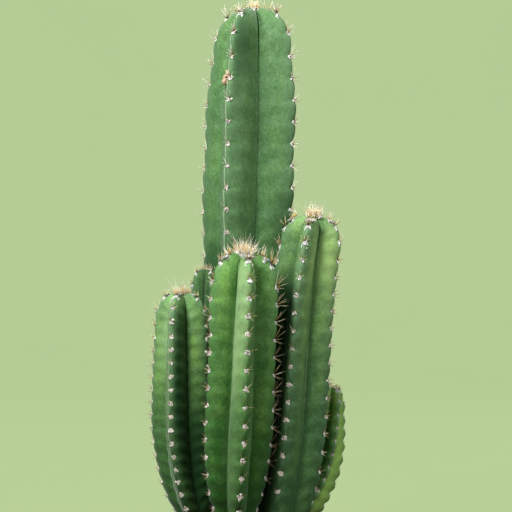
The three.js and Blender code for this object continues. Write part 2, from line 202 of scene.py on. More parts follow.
class NodeSheet:
    """A node tree, with short calls that add nodes and wire them."""

    def __init__(self, tree: bpy.types.NodeTree) -> None:
        """Takes an empty tree."""
        self.tree = tree
        self.place: Socket | None = None  # object coordinates, once a material has set them

    def add(self, kind: str, inputs: dict | None = None, **settings: object) -> Node:
        """Adds a node.

        Args:
            kind: Its type.
            inputs: Values or output sockets for its inputs, by name or number.
            settings: The node's own properties.

        Returns:
            The node.
        """
        node = self.tree.nodes.new(kind)
        for name, value in settings.items():
            setattr(node, name, value)
        self.set(node, inputs or {})
        return node

    def set(self, node: Node, inputs: dict) -> None:
        """Wires or sets inputs of a node, by name or number."""
        for name, value in inputs.items():
            self.feed(node.inputs[name], value)

    def feed(self, socket: Socket, value: object) -> None:
        """Wires an output into a socket, or sets the socket's own value.

        Args:
            socket: The socket.
            value: An output, a number or a colour.
        """
        if isinstance(value, Socket):
            self.tree.links.new(value, socket)
        elif isinstance(value, tuple) and len(value) == 3 and socket.type == "RGBA":
            socket.default_value = (*value, 1.0)
        else:
            socket.default_value = value

    def math(self, operation: str, first: object, second: object = 0.0) -> Socket:
        """The result of a sum on two values."""
        return self.add("ShaderNodeMath", {0: first, 1: second}, operation=operation).outputs[0]

    def times(self, product: object, *factors: object) -> Socket:
        """The product of several values.

        Args:
            product: The first value.
            factors: The others, in the order in which they are multiplied.

        Returns:
            The last product.
        """
        for factor in factors:
            product = self.math("MULTIPLY", product, factor)
        return product

    def blend(self, mask: object, under: object, over: object, mode: str = "MIX") -> Socket:
        """One colour laid over another, as far as a mask lets the upper one show.

        Args:
            mask: How much of the upper colour shows.
            under: The lower colour.
            over: The upper colour.
            mode: How the two are combined.

        Returns:
            The colour that results.
        """
        node = self.add("ShaderNodeMix", data_type="RGBA", blend_type=mode)
        self.set(node, {0: mask, 6: under, 7: over})
        return node.outputs[2]

    def grade(
        self, value: object, low: object, high: object, start: float = 0.0, end: float = 1.0
    ) -> Socket:
        """A smooth step of a value: it goes from start, where the value is low, to end, where it is high."""
        inputs = {"Value": value, "From Min": low, "From Max": high, "To Min": start, "To Max": end}
        return self.add("ShaderNodeMapRange", inputs, interpolation_type="SMOOTHSTEP").outputs[0]

    def attribute(self, attribute: Attribute) -> Socket:
        """A value that the mesh carries at its points."""
        return self.add("ShaderNodeAttribute", attribute_name=attribute.value).outputs["Fac"]

    def effect(self, group: bpy.types.NodeTree, *values: float) -> Socket:
        """A shared effect on object coordinates, its values in the order of the group's inputs.

        Args:
            group: The effect's group.
            values: Its numbers.

        Returns:
            The effect's own value.
        """
        node = self.add("ShaderNodeGroup", node_tree=group)
        self.set(node, dict(enumerate((self.place, *values))))
        return node.outputs[0]

    def bump(self, shader: Node, height: object, depth: float, strength: float) -> None:
        """Lets a height bend the shading. A height of 1 stands for the depth, in metres."""
        bump = self.add("ShaderNodeBump", {"Height": height, "Distance": depth, "Strength": strength})
        self.feed(shader.inputs["Normal"], bump.outputs[0])


class ShaderGroups:
    """The effects that several finishes share, each built once."""

    def __init__(self) -> None:
        """Builds every group."""
        self.patches = self.make_patches()
        self.relief = self.make_relief()
        self.freckles = self.make_freckles()

    @staticmethod
    def blank(name: str, output: str, **inputs: float) -> tuple:
        """An empty group that works on a place and on numbers.

        Args:
            name: The group's name.
            output: The name of its value.
            inputs: Its numbers, with their usual values.

        Returns:
            Its sheet, its inputs and the socket that takes its value.
        """
        tree = bpy.data.node_groups.new(name, "ShaderNodeTree")
        tree.interface.new_socket(name="Vector", in_out="INPUT", socket_type="NodeSocketVector")
        for label, value in inputs.items():
            socket = tree.interface.new_socket(name=label, in_out="INPUT", socket_type="NodeSocketFloat")
            socket.default_value = value
        tree.interface.new_socket(name=output, in_out="OUTPUT", socket_type="NodeSocketFloat")
        sheet = NodeSheet(tree)
        return sheet, sheet.add("NodeGroupInput").outputs, sheet.add("NodeGroupOutput").inputs[0]

    def make_patches(self) -> bpy.types.NodeTree:
        """Soft uneven patches, longer up the plant than across it: scale, length, low, high.

        Returns:
            The group.
        """
        sheet, entry, mask = self.blank("patches", "Mask", Scale=30.0, Length=0.5, Low=0.45, High=0.65)
        squeeze = sheet.add("ShaderNodeCombineXYZ", {0: 1.0, 1: 1.0, 2: entry["Length"]}).outputs[0]
        place = sheet.add("ShaderNodeVectorMath", {0: entry["Vector"], 1: squeeze}, operation="MULTIPLY")
        cloud = sheet.add(
            "ShaderNodeTexNoise",
            {"Vector": place.outputs[0], "Scale": entry["Scale"], "Detail": 4.0, "Roughness": 0.55},
        )
        sheet.feed(mask, sheet.grade(cloud.outputs["Fac"], entry["Low"], entry["High"]))
        return sheet.tree

    def make_relief(self) -> bpy.types.NodeTree:
        """Fine unevenness, broad waves with pores between them: scale, pores.

        Returns:
            The group.
        """
        sheet, entry, height = self.blank("relief", "Height", Scale=300.0, Pores=0.4)
        vector = entry["Vector"]
        waves = sheet.add("ShaderNodeTexNoise", {"Vector": vector, "Scale": entry["Scale"], "Detail": 5.0})
        finer = sheet.times(entry["Scale"], 3.0)
        pores = sheet.add("ShaderNodeTexVoronoi", {"Vector": vector, "Scale": finer}, feature="F1")
        pits = sheet.times(pores.outputs["Distance"], entry["Pores"])
        sheet.feed(height, sheet.math("ADD", waves.outputs["Fac"], pits))
        return sheet.tree

    def make_freckles(self) -> bpy.types.NodeTree:
        """Small specks, of which only a share of the possible ones shows: scale, share, size.

        Returns:
            The group.
        """
        sheet, entry, mask = self.blank("freckles", "Mask", Scale=120.0, Share=0.2, Size=0.2)
        inputs = {"Vector": entry["Vector"], "Scale": entry["Scale"]}
        cells = sheet.add("ShaderNodeTexVoronoi", inputs, feature="F1").outputs
        chance = sheet.add("ShaderNodeSeparateColor", {0: cells["Color"]}).outputs[0]
        edge = sheet.grade(cells["Distance"], 0.0, entry["Size"], 1.0, 0.0)
        sheet.feed(mask, sheet.times(sheet.math("LESS_THAN", chance, entry["Share"]), edge))
        return sheet.tree


GROUPS = ShaderGroups()


@dataclass(frozen=True)
class Finish:
    """What all finishes share: a material with one main shader, which each of them paints."""

    def material(self, name: str) -> Material:
        """Builds the material.

        Args:
            name: The material's name.

        Returns:
            The material.
        """
        material = bpy.data.materials.new(name)
        material.use_nodes = True
        material.node_tree.nodes.clear()
        sheet = NodeSheet(material.node_tree)
        shader = sheet.add("ShaderNodeBsdfPrincipled")
        sheet.add("ShaderNodeOutputMaterial", {"Surface": shader.outputs[0]})
        sheet.place = sheet.add("ShaderNodeTexCoord").outputs["Object"]
        self.paint(sheet, shader)
        return material

    def paint(self, sheet: NodeSheet, shader: Node) -> None:
        """Sets and wires the inputs of the main shader."""
        raise NotImplementedError


@dataclass(frozen=True)
class SkinFinish(Finish):
    """The waxy green skin of a stem: fresh green near the tip, darker below, partly as older skin and partly
    as painted shade towards the foot. Colours are linear.
    """

    young: Colour = (0.135, 0.290, 0.085)
    # older skin, and painted shade towards the foot
    aged_and_shaded: Colour = (0.036, 0.120, 0.032)
    sunny: Colour = (0.215, 0.420, 0.085)
    bloom: Colour = (0.190, 0.345, 0.185)
    # painted shade: in the creases, in the deep green marks and between stems
    groove: Colour = (0.014, 0.058, 0.014)
    # the colour of the painted highlight line beside each crest
    highlight_colour: Colour = (0.300, 0.450, 0.250)
    cork: Colour = (0.200, 0.130, 0.070)
    # the colour of painted light, where a mark is positive
    pale: Colour = (0.330, 0.520, 0.240)
    sunny_share: float = 0.6
    bloom_share: float = 0.6
    # how strong the painted highlight line is
    highlight_share: float = 0.5
    # how far painted light turns the skin pale
    pale_share: float = 0.75
    # how dark the painted shade between stems is
    painted_shade_share: float = 0.7
    # how dark the painted shade in the creases is
    crease_shade_share: float = 0.92
    speck_share: float = 0.7
    roughness: float = 0.52
    sheen: float = 0.30  # the powdery gleam of the edges
    cork_height: float = 0.046  # metres above the cut face
    cork_ragged: float = 0.012

    def paint(self, sheet: NodeSheet, shader: Node) -> None:
        """Lays wax, painted light and shade, painted shade in the creases, the painted highlight lines,
        specks, cork and painted shade between stems over the flesh.

        Args:
            sheet: The material's sheet.
            shader: Its main shader.
        """
        crest = sheet.attribute(Attribute.CREST)
        youth = sheet.attribute(Attribute.YOUTH)
        # Fresh green near the tip, darker towards the foot, as older skin and as painted shade.
        colour = self.mottled(sheet, crest, youth, sheet.blend(youth, self.aged_and_shaded, self.young))
        dusty = sheet.effect(GROUPS.patches, 190.0, 0.8, 0.35, 0.7)
        hump = sheet.grade(sheet.attribute(Attribute.HUMP), 0.0, 0.9, 0.3, 1.0)
        dust = sheet.grade(dusty, 0.0, 1.0, 0.55, 1.0)
        fresh = sheet.grade(youth, 0.0, 0.8, 0.25, 1.0)
        wax = sheet.times(sheet.grade(crest, 0.5, 0.95), hump, dust, fresh, self.bloom_share)
        colour = sheet.blend(wax, colour, self.bloom)
        # Painted light and shade: paler where light is painted on, deep green where shade is painted on.
        mark = sheet.attribute(Attribute.MARK)
        uneven = sheet.grade(dusty, 0.0, 1.0, 1.0, 0.72)
        colour = sheet.blend(
            sheet.times(sheet.grade(mark, 0.0, 1.0), uneven, self.pale_share), colour, self.pale
        )
        colour = sheet.blend(sheet.grade(mark, 0.0, -1.0), colour, self.groove)
        # Painted shade in the creases, darkest where they are cut deepest.
        cut = sheet.grade(sheet.attribute(Attribute.CREASE), 0.0, 0.9)
        colour = sheet.blend(sheet.times(cut, self.crease_shade_share), colour, self.groove)
        # Painted highlight: a thin pale line beside each crest, where its edge catches the light, kept off
        # the felt.
        clear = sheet.grade(sheet.attribute(Attribute.FELT), 0.6, 0.1)
        highlight = sheet.times(sheet.attribute(Attribute.LINE), clear, self.highlight_share)
        colour = sheet.blend(highlight, colour, self.highlight_colour)
        specks = sheet.effect(GROUPS.freckles, 75.0, 0.05, 0.1)
        colour = sheet.blend(sheet.times(specks, self.speck_share), colour, self.cork)
        colour = sheet.blend(self.corked(sheet), colour, self.cork)
        # Painted shade where another stem stands close by.
        between_stems_shade = sheet.times(sheet.attribute(Attribute.PAINTED_SHADE), self.painted_shade_share)
        roughness = sheet.math("ADD", sheet.times(dusty, 0.14), self.roughness)
        sheet.set(shader, {"Base Color": sheet.blend(between_stems_shade, colour, self.groove), "Roughness": roughness})
        sheet.set(shader, {"Specular IOR Level": 0.17, "Sheen Weight": self.sheen, "Sheen Roughness": 0.35})
        sheet.bump(shader, sheet.effect(GROUPS.relief, 420.0, 0.35), 0.0005, 0.35)

    def mottled(self, sheet: NodeSheet, crest: Socket, youth: Socket, colour: Socket) -> Socket:
        """Lays yellow-green patches, darker clouds, haze and fine fibres over the flesh.

        Args:
            sheet: The material's sheet.
            crest: The place between groove and crest.
            youth: 1 near the tip.
            colour: The flesh.

        Returns:
            The mottled colour.
        """
        broad = sheet.effect(GROUPS.patches, 32.0, 0.6, 0.42, 0.62)
        flank = sheet.times(sheet.grade(crest, 0.05, 0.4), sheet.grade(crest, 0.98, 0.6))
        fresh = sheet.grade(youth, 0.0, 0.8, 0.3, 1.0)
        colour = sheet.blend(sheet.times(broad, flank, self.sunny_share, fresh), colour, self.sunny)
        clouds = sheet.effect(GROUPS.patches, 75.0, 0.8, 0.38, 0.66)
        colour = sheet.blend(sheet.times(clouds, 0.4), colour, self.aged_and_shaded)
        haze = sheet.effect(GROUPS.patches, 170.0, 0.8, 0.42, 0.72)
        veil = sheet.times(haze, sheet.grade(youth, 0.0, 0.7, 0.08, 0.34))
        colour = sheet.blend(veil, colour, self.bloom)
        fibres = sheet.effect(GROUPS.patches, 420.0, 0.85, 0.3, 0.7)
        grain = sheet.effect(GROUPS.patches, 1150.0, 0.9, 0.3, 0.7)
        light = sheet.times(
            sheet.grade(fibres, 0.0, 1.0, 0.85, 1.15), sheet.grade(grain, 0.0, 1.0, 0.88, 1.13)
        )
        shade = sheet.add("ShaderNodeCombineColor", {0: light, 1: light, 2: light}).outputs[0]
        return sheet.blend(1.0, colour, shade, "MULTIPLY")

    def corked(self, sheet: NodeSheet) -> Socket:
        """How far the skin has turned to ragged cork, just above the woody crown.

        Args:
            sheet: The material's sheet.

        Returns:
            1 where the skin is cork, 0 where it is green.
        """
        height = sheet.add("ShaderNodeSeparateXYZ", {0: sheet.place}).outputs[2]
        torn = sheet.effect(GROUPS.patches, 280.0, 0.9, 0.22, 0.78)
        ragged = sheet.math("ADD", height, sheet.times(torn, self.cork_ragged))
        return sheet.grade(ragged, self.cork_height, 0.030)


@dataclass(frozen=True)
class FeltFinish(Finish):
    """The wool of areoles and tufts: bright and white when young, then buff."""

    young: Colour = (0.97, 0.95, 0.90)
    old: Colour = (0.93, 0.86, 0.77)
    shaded: Colour = (0.22, 0.10, 0.05)

    def paint(self, sheet: NodeSheet, shader: Node) -> None:
        """Lays brown specks over the wool, most of them on old pads.

        Args:
            sheet: The material's sheet.
            shader: Its main shader.
        """
        youth = sheet.attribute(Attribute.YOUTH)
        age = sheet.math("ADD", youth, sheet.times(sheet.attribute(Attribute.TONE), 0.7))
        colour = sheet.blend(sheet.grade(age, 0.0, 1.0), self.old, self.young)
        stains = sheet.effect(GROUPS.freckles, 560.0, 0.4, 0.6)
        soiled = sheet.times(stains, sheet.grade(youth, 0.7, 0.0, 0.15, 0.6))
        colour = sheet.blend(soiled, colour, self.shaded)
        sheet.set(shader, {"Base Color": colour, "Roughness": 0.95, "Specular IOR Level": 0.2})
        sheet.bump(shader, sheet.effect(GROUPS.relief, 900.0, 0.9), 0.0006, 0.8)


@dataclass(frozen=True)
class SpineFinish(Finish):
    """Spines: brown at the root, golden, then pale at the tip. Old ones are grey and pinkish."""

    root: Colour = (0.11, 0.038, 0.014)
    shaft: Colour = (0.66, 0.46, 0.16)
    tip: Colour = (0.90, 0.84, 0.56)
    weathered: Colour = (0.46, 0.29, 0.19)
    pale_share: float = 0.12  # how many are pale from the root up

    def paint(self, sheet: NodeSheet, shader: Node) -> None:
        """Runs root, shaft and tip into each other, with age, bands, dark ones and pale ones.

        Args:
            sheet: The material's sheet.
            shader: Its main shader.
        """
        along = sheet.attribute(Attribute.ALONG)
        youth = sheet.attribute(Attribute.YOUTH)
        tone = sheet.attribute(Attribute.TONE)
        colour = sheet.blend(sheet.grade(along, 0.08, 0.46), self.root, self.shaft)
        colour = sheet.blend(sheet.grade(along, 0.4, 0.85), colour, self.tip)
        age = sheet.math("ADD", youth, sheet.times(tone, 0.5))
        worn = sheet.times(sheet.grade(age, 0.7, 0.2), sheet.grade(along, 0.15, 0.6))
        colour = sheet.blend(worn, colour, self.weathered)
        bands = sheet.effect(GROUPS.patches, 600.0, 1.0, 0.4, 0.7)
        colour = sheet.blend(sheet.times(bands, 0.18), colour, self.root)
        colour = sheet.blend(sheet.grade(tone, 0.5, 1.0, 0.0, 0.4), colour, self.root)
        chosen = sheet.math("LESS_THAN", tone, self.pale_share)
        colour = sheet.blend(sheet.times(chosen, sheet.grade(along, 0.0, 0.3)), colour, self.tip)
        sheet.set(shader, {"Base Color": colour, "Roughness": 0.42})
        sheet.bump(shader, sheet.effect(GROUPS.relief, 1500.0, 0.3), 0.0002, 0.5)


STRAW = SpineFinish((0.16, 0.065, 0.025), (0.53, 0.36, 0.22), (0.92, 0.86, 0.76), (0.66, 0.54, 0.43), 0.3)
GOLDEN = SpineFinish((0.42, 0.18, 0.04), (0.90, 0.63, 0.18), (1.0, 0.96, 0.80), pale_share=0.32)


@dataclass(frozen=True)
class BarkFinish(Finish):
    """The woody crown: cracked grey-brown bark, and pale ringed wood on the cut."""

    ridge: Colour = (0.27, 0.20, 0.13)
    crack: Colour = (0.050, 0.032, 0.018)
    dust: Colour = (0.42, 0.36, 0.27)
    wood: Colour = (0.58, 0.47, 0.30)
    ring: Colour = (0.36, 0.24, 0.12)
    ring_waves: float = 1400.0  # radians of the rings' wave for each metre

    def paint(self, sheet: NodeSheet, shader: Node) -> None:
        """Lays cracks and dust over the bark, and rings and rays over the wood below it.

        Args:
            sheet: The material's sheet.
            shader: Its main shader.
        """
        plates = sheet.effect(GROUPS.patches, 110.0, 0.35, 0.38, 0.6)
        pale = sheet.effect(GROUPS.patches, 45.0, 1.0, 0.5, 0.75)
        bark = sheet.blend(plates, self.crack, self.ridge)
        bark = sheet.blend(sheet.times(pale, 0.55), bark, self.dust)
        apart = sheet.add("ShaderNodeSeparateXYZ", {0: sheet.place}).outputs
        across = sheet.add("ShaderNodeCombineXYZ", {0: apart[0], 1: apart[1]}).outputs[0]
        distance = sheet.add("ShaderNodeVectorMath", {0: across}, operation="LENGTH").outputs["Value"]
        uneven = sheet.math("ADD", distance, sheet.times(pale, 0.004))
        rings = sheet.math("SINE", sheet.times(uneven, self.ring_waves))
        wood = sheet.blend(sheet.grade(rings, -0.2, 1.0, 0.0, 0.55), self.wood, self.ring)
        rays = sheet.effect(GROUPS.patches, 160.0, 1.0, 0.45, 0.7)
        wood = sheet.blend(sheet.times(rays, 0.3), wood, self.ring)
        colour = sheet.blend(sheet.grade(apart[2], 0.0002, 0.0007), wood, bark)
        sheet.set(shader, {"Base Color": colour, "Roughness": 0.9, "Specular IOR Level": 0.25})
        rough = sheet.effect(GROUPS.relief, 240.0, 0.7)
        sheet.bump(shader, sheet.math("ADD", rough, plates), 0.0012, 0.8)


@dataclass(frozen=True)
class ScarFinish(Finish):
    """A healed wound: tan cork with a dark hollow."""

    cork: Colour = (0.68, 0.49, 0.31)
    hollow: Colour = (0.13, 0.045, 0.02)

    def paint(self, sheet: NodeSheet, shader: Node) -> None:
        """Lays grain over the cork and darkens it into the hollow.

        Args:
            sheet: The material's sheet.
            shader: Its main shader.
        """
        grain = sheet.effect(GROUPS.patches, 300.0, 0.6, 0.35, 0.75)
        colour = sheet.blend(sheet.times(grain, 0.35), self.cork, self.hollow)
        depth = sheet.grade(sheet.attribute(Attribute.ALONG), 0.35, 0.9)
        sheet.set(shader, {"Base Color": sheet.blend(depth, colour, self.hollow), "Roughness": 0.9})
        sheet.bump(shader, sheet.effect(GROUPS.relief, 700.0, 0.6), 0.0008, 0.8)


@dataclass(frozen=True)
class SweepFinish(Finish):
    """The matt paint of the studio's floor and wall, lit from within so that it looks even."""

    colour: Colour = (0.479, 0.617, 0.310)
    glow: float = 0.96
    bounce: Colour = (0.06, 0.07, 0.05)
    corner: float = 0.11  # how far round the plant's foot the painted shadow reaches
    dimmest: float = 0.3
    mottle: float = 1.01

    def paint(self, sheet: NodeSheet, shader: Node) -> None:
        """Lets only the camera see the glow, so that the plant is lit by the lamps alone.

        Args:
            sheet: The material's sheet.
            shader: Its main shader.
        """
        paler = tuple(min(1.0, channel * self.mottle) for channel in self.colour)
        colour = sheet.blend(sheet.effect(GROUPS.patches, 3.0, 1.0, 0.3, 0.7), self.colour, paler)
        dim = tuple(channel * (1 - self.glow) for channel in self.colour)
        sheet.set(shader, {"Base Color": dim, "Roughness": 1.0, "Specular IOR Level": 0.0})
        # Painted shadow: the glow darkens round the plant's foot.
        corner = sheet.add("ShaderNodeAmbientOcclusion", {"Distance": self.corner}).outputs["AO"]
        shade = sheet.add("ShaderNodeMapRange", {0: corner, 1: 0.2, 2: 0.9, 3: self.dimmest, 4: 1.0})
        grey = sheet.add("ShaderNodeCombineColor", {k: shade.outputs[0] for k in range(3)}).outputs[0]
        glowing = sheet.blend(1.0, colour, grey, "MULTIPLY")
        sheet.set(shader, {"Emission Color": glowing, "Emission Strength": self.glow})
        matt = sheet.add("ShaderNodeBsdfDiffuse", {"Color": self.bounce})
        seen = sheet.add("ShaderNodeLightPath").outputs["Is Camera Ray"]
        both = sheet.add("ShaderNodeMixShader", {0: seen, 1: matt.outputs[0], 2: shader.outputs[0]})
        output = next(node for node in sheet.tree.nodes if node.type == "OUTPUT_MATERIAL")
        sheet.feed(output.inputs["Surface"], both.outputs[0])


# ---- meshes ----


class Shape:
    """A small closed shape that is made once with mesh operators and copied many times."""

    def __init__(self, bm: bmesh.types.BMesh) -> None:
        """Keeps the triangles of a mesh, and frees it.

        Args:
            bm: The mesh in edit.
        """
        bmesh.ops.recalc_face_normals(bm, faces=bm.faces)
        bmesh.ops.triangulate(bm, faces=bm.faces)
        bm.verts.index_update()
        self.points = np.array([vert.co[:] for vert in bm.verts])
        self.faces = np.array([[vert.index for vert in face.verts] for face in bm.faces])
        bm.free()

    @classmethod
    def ball(cls, subdivisions: int) -> "Shape":
        """A round ball of radius 1.

        Args:
            subdivisions: How often its faces are divided.

        Returns:
            The shape.
        """
        bm = bmesh.new()
        bmesh.ops.create_icosphere(bm, subdivisions=subdivisions, radius=1.0)
        return cls(bm)

    @classmethod
    def rod(cls, sides: int, stations: Stations) -> "Shape":
        """A tapering rod along +Z that ends in a point at z = 1.

        Args:
            sides: The number of its sides.
            stations: Pairs of a height and the radius there, without the point.

        Returns:
            The shape.
        """
        bm = bmesh.new()
        made = bmesh.ops.create_circle(bm, cap_ends=True, segments=sides, radius=stations[0][1])
        ring = made["verts"]
        edges = [edge for edge in bm.edges if all(vert in ring for vert in edge.verts)]
        for (low, wide), (high, narrow) in zip(stations, (*stations[1:], (1.0, 1e-4))):
            grown = bmesh.ops.extrude_edge_only(bm, edges=edges)["geom"]
            ring = [item for item in grown if isinstance(item, bmesh.types.BMVert)]
            edges = [item for item in grown if isinstance(item, bmesh.types.BMEdge)]
            bmesh.ops.translate(bm, verts=ring, vec=(0, 0, high - low))
            bmesh.ops.scale(bm, verts=ring, vec=(narrow / wide, narrow / wide, 1))
        bmesh.ops.pointmerge(bm, verts=ring, merge_co=(0, 0, 1))
        return cls(bm)


class Assembly:
    """Many copies of small shapes that become one piece."""

    def __init__(self) -> None:
        """Starts empty."""
        self.points: list[Array] = []
        self.faces: list[Array] = []
        self.values: dict[Attribute, list[Array]] = {}
        self.count = 0

    def add(self, shape: Shape, places: Array, values: dict[Attribute, Array]) -> None:
        """Adds copies of a shape.

        Args:
            shape: The shape that is copied.
            places: The points of every copy in millimetres, copies by points by three.
            values: For each attribute a number for each copy, or for each point of each copy.
        """
        copies, points = places.shape[:2]
        starts = self.count + points * np.arange(copies)
        self.points.append(places.reshape(-1, 3))
        self.faces.append((shape.faces[None] + starts[:, None, None]).reshape(-1, 3))
        for attribute, value in values.items():
            spread = value if value.ndim == 2 else value[:, None]
            full = np.broadcast_to(spread, (copies, points)).ravel()
            self.values.setdefault(attribute, []).append(full)
        self.count += copies * points

    def add_rods(self, rod: Shape, places: Array, youth: Array, draw: Chance) -> None:
        """Adds copies of a rod as spines or needles, which know how far each point is from the root.

        Args:
            rod: The shape that is copied.
            places: The points of every copy.
            youth: How young each copy is.
            draw: The source of chance.
        """
        along = np.broadcast_to(rod.points[None, :, 2], places.shape[:2])
        tone = draw.uniform(0, 1, len(places))
        self.add(rod, places, {Attribute.ALONG: along, Attribute.YOUTH: youth, Attribute.TONE: tone})

    def piece(self, name: str, material: Material) -> Piece:
        """Makes the object from all that was added.

        Args:
            name: Its name.
            material: Its material.

        Returns:
            The object.
        """
        mesh = bpy.data.meshes.new(name)
        points = np.concatenate(self.points) * MM
        mesh.from_pydata(points.tolist(), [], np.concatenate(self.faces).tolist())
        for attribute, parts in self.values.items():
            store(mesh, attribute, np.concatenate(parts))
        return link(name, mesh, material)


def store(mesh: bpy.types.Mesh, attribute: Attribute, values: Array) -> None:
    """Writes one value for each point of a mesh."""
    layer = mesh.attributes.new(attribute.value, "FLOAT", "POINT")
    layer.data.foreach_set("value", np.ascontiguousarray(values, np.float32))


def link(name: str, mesh: bpy.types.Mesh, material: Material) -> Piece:
    """Puts a mesh into the scene as an object at the origin, smoothly shaded.

    Args:
        name: The object's name.
        mesh: Its mesh, in metres in the shared frame.
        material: Its material.

    Returns:
        The object.
    """
    mesh.materials.append(material)
    mesh.polygons.foreach_set("use_smooth", np.ones(len(mesh.polygons), bool))
    mesh.update()
    piece = bpy.data.objects.new(name, mesh)
    bpy.context.scene.collection.objects.link(piece)
    return piece


def revolved(name: str, profile: list[tuple[float, float]], steps: int) -> bpy.types.Mesh:
    """A profile that is spun once round the Z axis and closed at its poles.

    Args:
        name: The mesh's name.
        profile: Pairs of a radius and a height, in rising order along the surface.
        steps: The number of columns.

    Returns:
        The mesh, with its faces pointing out.
    """
    bm = bmesh.new()
    verts = [bm.verts.new((radius, 0, height)) for radius, height in profile]
    edges = [bm.edges.new(pair) for pair in zip(verts, verts[1:])]
    turn = {"cent": (0, 0, 0), "axis": (0, 0, 1), "angle": math.tau, "steps": steps}
    bmesh.ops.spin(bm, geom=verts + edges, use_merge=True, use_duplicate=False, **turn)
    bmesh.ops.remove_doubles(bm, verts=bm.verts, dist=MERGE_DISTANCE)
    bmesh.ops.recalc_face_normals(bm, faces=bm.faces)
    mesh = bpy.data.meshes.new(name)
    bm.to_mesh(mesh)
    bm.free()
    return mesh


def points_of(mesh: bpy.types.Mesh) -> Array:
    """The points of a mesh, one in each row.

    Args:
        mesh: The mesh.

    Returns:
        An array with three columns.
    """
    flat = np.empty(len(mesh.vertices) * 3)
    mesh.vertices.foreach_get("co", flat)
    return flat.reshape(-1, 3)


def bristles(
    shape: Shape,
    roots: Array,
    ways: Array,
    lengths: Array,
    radii: Array,
    bends: Array,
    curls: Array | float = 0.0,
) -> Array:
    """Places copies of a rod as spines or hairs.

    Args:
        shape: The rod, from z = 0 to z = 1.
        roots: Where each one starts.
        ways: The direction that each one starts in.
        lengths: How long each one is.
        radii: How thick each one is at its root.
        bends: How far each tip is bent aside, as a share of its length.
        curls: How far each one waves, as a share of its length.

    Returns:
        The points of every copy.
    """
    helper = np.where(np.abs(ways[:, 2:]) < NEARLY_UPRIGHT, [[0.0, 0.0, 1.0]], [[1.0, 0.0, 0.0]])
    first = unit(np.cross(ways, helper))
    second = np.cross(ways, first)
    x, y, z = (shape.points[None, :, k, None] for k in range(3))
    thick = radii[:, None, None] * (x * first[:, None] + y * second[:, None])
    full = lengths[:, None, None]
    drawn = full * (z * ways[:, None] + z * z * bends[:, None])
    wave = full * np.reshape(curls, (-1, 1, 1)) * np.sin(CURL_TURN * z) * z * first[:, None]
    return roots[:, None] + thick + drawn + wave


def pads(shape: Shape, hearts: Array, axes: Axes, sizes: Axes) -> Array:
    """Places copies of a ball as flattened pads.

    Args:
        shape: The ball.
        hearts: The middle of each pad.
        axes: The sideways, upward and outward direction of each pad.
        sizes: How far each pad reaches in these directions.

    Returns:
        The points of every copy.
    """
    parts = [
        shape.points[None, :, k, None] * (axis * size[:, None])[:, None]
        for k, (axis, size) in enumerate(zip(axes, sizes))
    ]
    return hearts[:, None] + sum(parts)


# ---- a stem ----


@dataclass(frozen=True)
class LightAndShade:
    """A patch of painted light on the skin, or of painted shade where its strength is negative."""

    degrees: float
    down: float  # from the tip
    width: float
    height: float
    strength: float = 1.0


@dataclass(frozen=True)
class TuftPlan:
    """The tuft of wool and young spines on a tip."""

    radius: float
    rise: float
    length: float
    spread: float  # how far the outermost needles lean, in radians
    crown: float  # the share of the radius in which they stand
    wool: float  # how thick the wool is
    needles: int
    hairs: int
    cluster: int = 15  # the needles where a rib runs into the tuft


@dataclass(frozen=True)
class StemPlan:
    """The sizes of one stem, most of them as in the part's source, and how its skin is woven and painted."""

    name: str
    route: tuple[tuple[float, float, float], ...]
    girths: Stations
    ribs: tuple[float, ...]
    lags: tuple[float, ...]
    step: float
    top_areoles: tuple[float, ...]  # down from the tip, then one for each step
    dome: float  # how high the rounded tip is
    notch: float  # how deep a rib is cut in at an areole
    spine: float  # the full length
    tuft: TuftPlan
    columns: int
    rows: int
    crease: tuple[float, float, float]  # depth of the line in a groove, below and at the tip, and its fade
    fade: float  # how far down the fresh colour reaches; below it the skin darkens, as older skin and as painted shade
    spine_width: float
    # painted light and shade on the skin
    marks: tuple[LightAndShade, ...]
    finish: SkinFinish
    seed: int
    twist: float = 0
    round_crest: float = 0.1
    lip: float = 0.1  # how full the flanks stay beside a groove
    old_spine: float = 0.6  # the length of the oldest spines, as a share of the youngest
    rib_spines: tuple[float, ...] = (1.0, 1.0, 1.0, 1.0)  # the share of the full length on each rib
    pad: float = 1.0
    pale_spines: bool = False
    line: tuple[float, float] = (0.0, 0.8)  # the painted highlight line: its place behind a crest, its half width


@dataclass(frozen=True)
class Areoles:
    """Where the areoles of a stem sit. Each array has one row for each areole."""

    over: Array
    degrees: Array
    heart: Array
    side: Array
    up: Array
    out: Array
    youth: Array

    def repeated(self, each: int) -> tuple[Array, ...]:
        """The hearts and the three directions, with every row as many times as asked for."""
        return tuple(np.repeat(rows, each, axis=0) for rows in (self.heart, self.side, self.up, self.out))


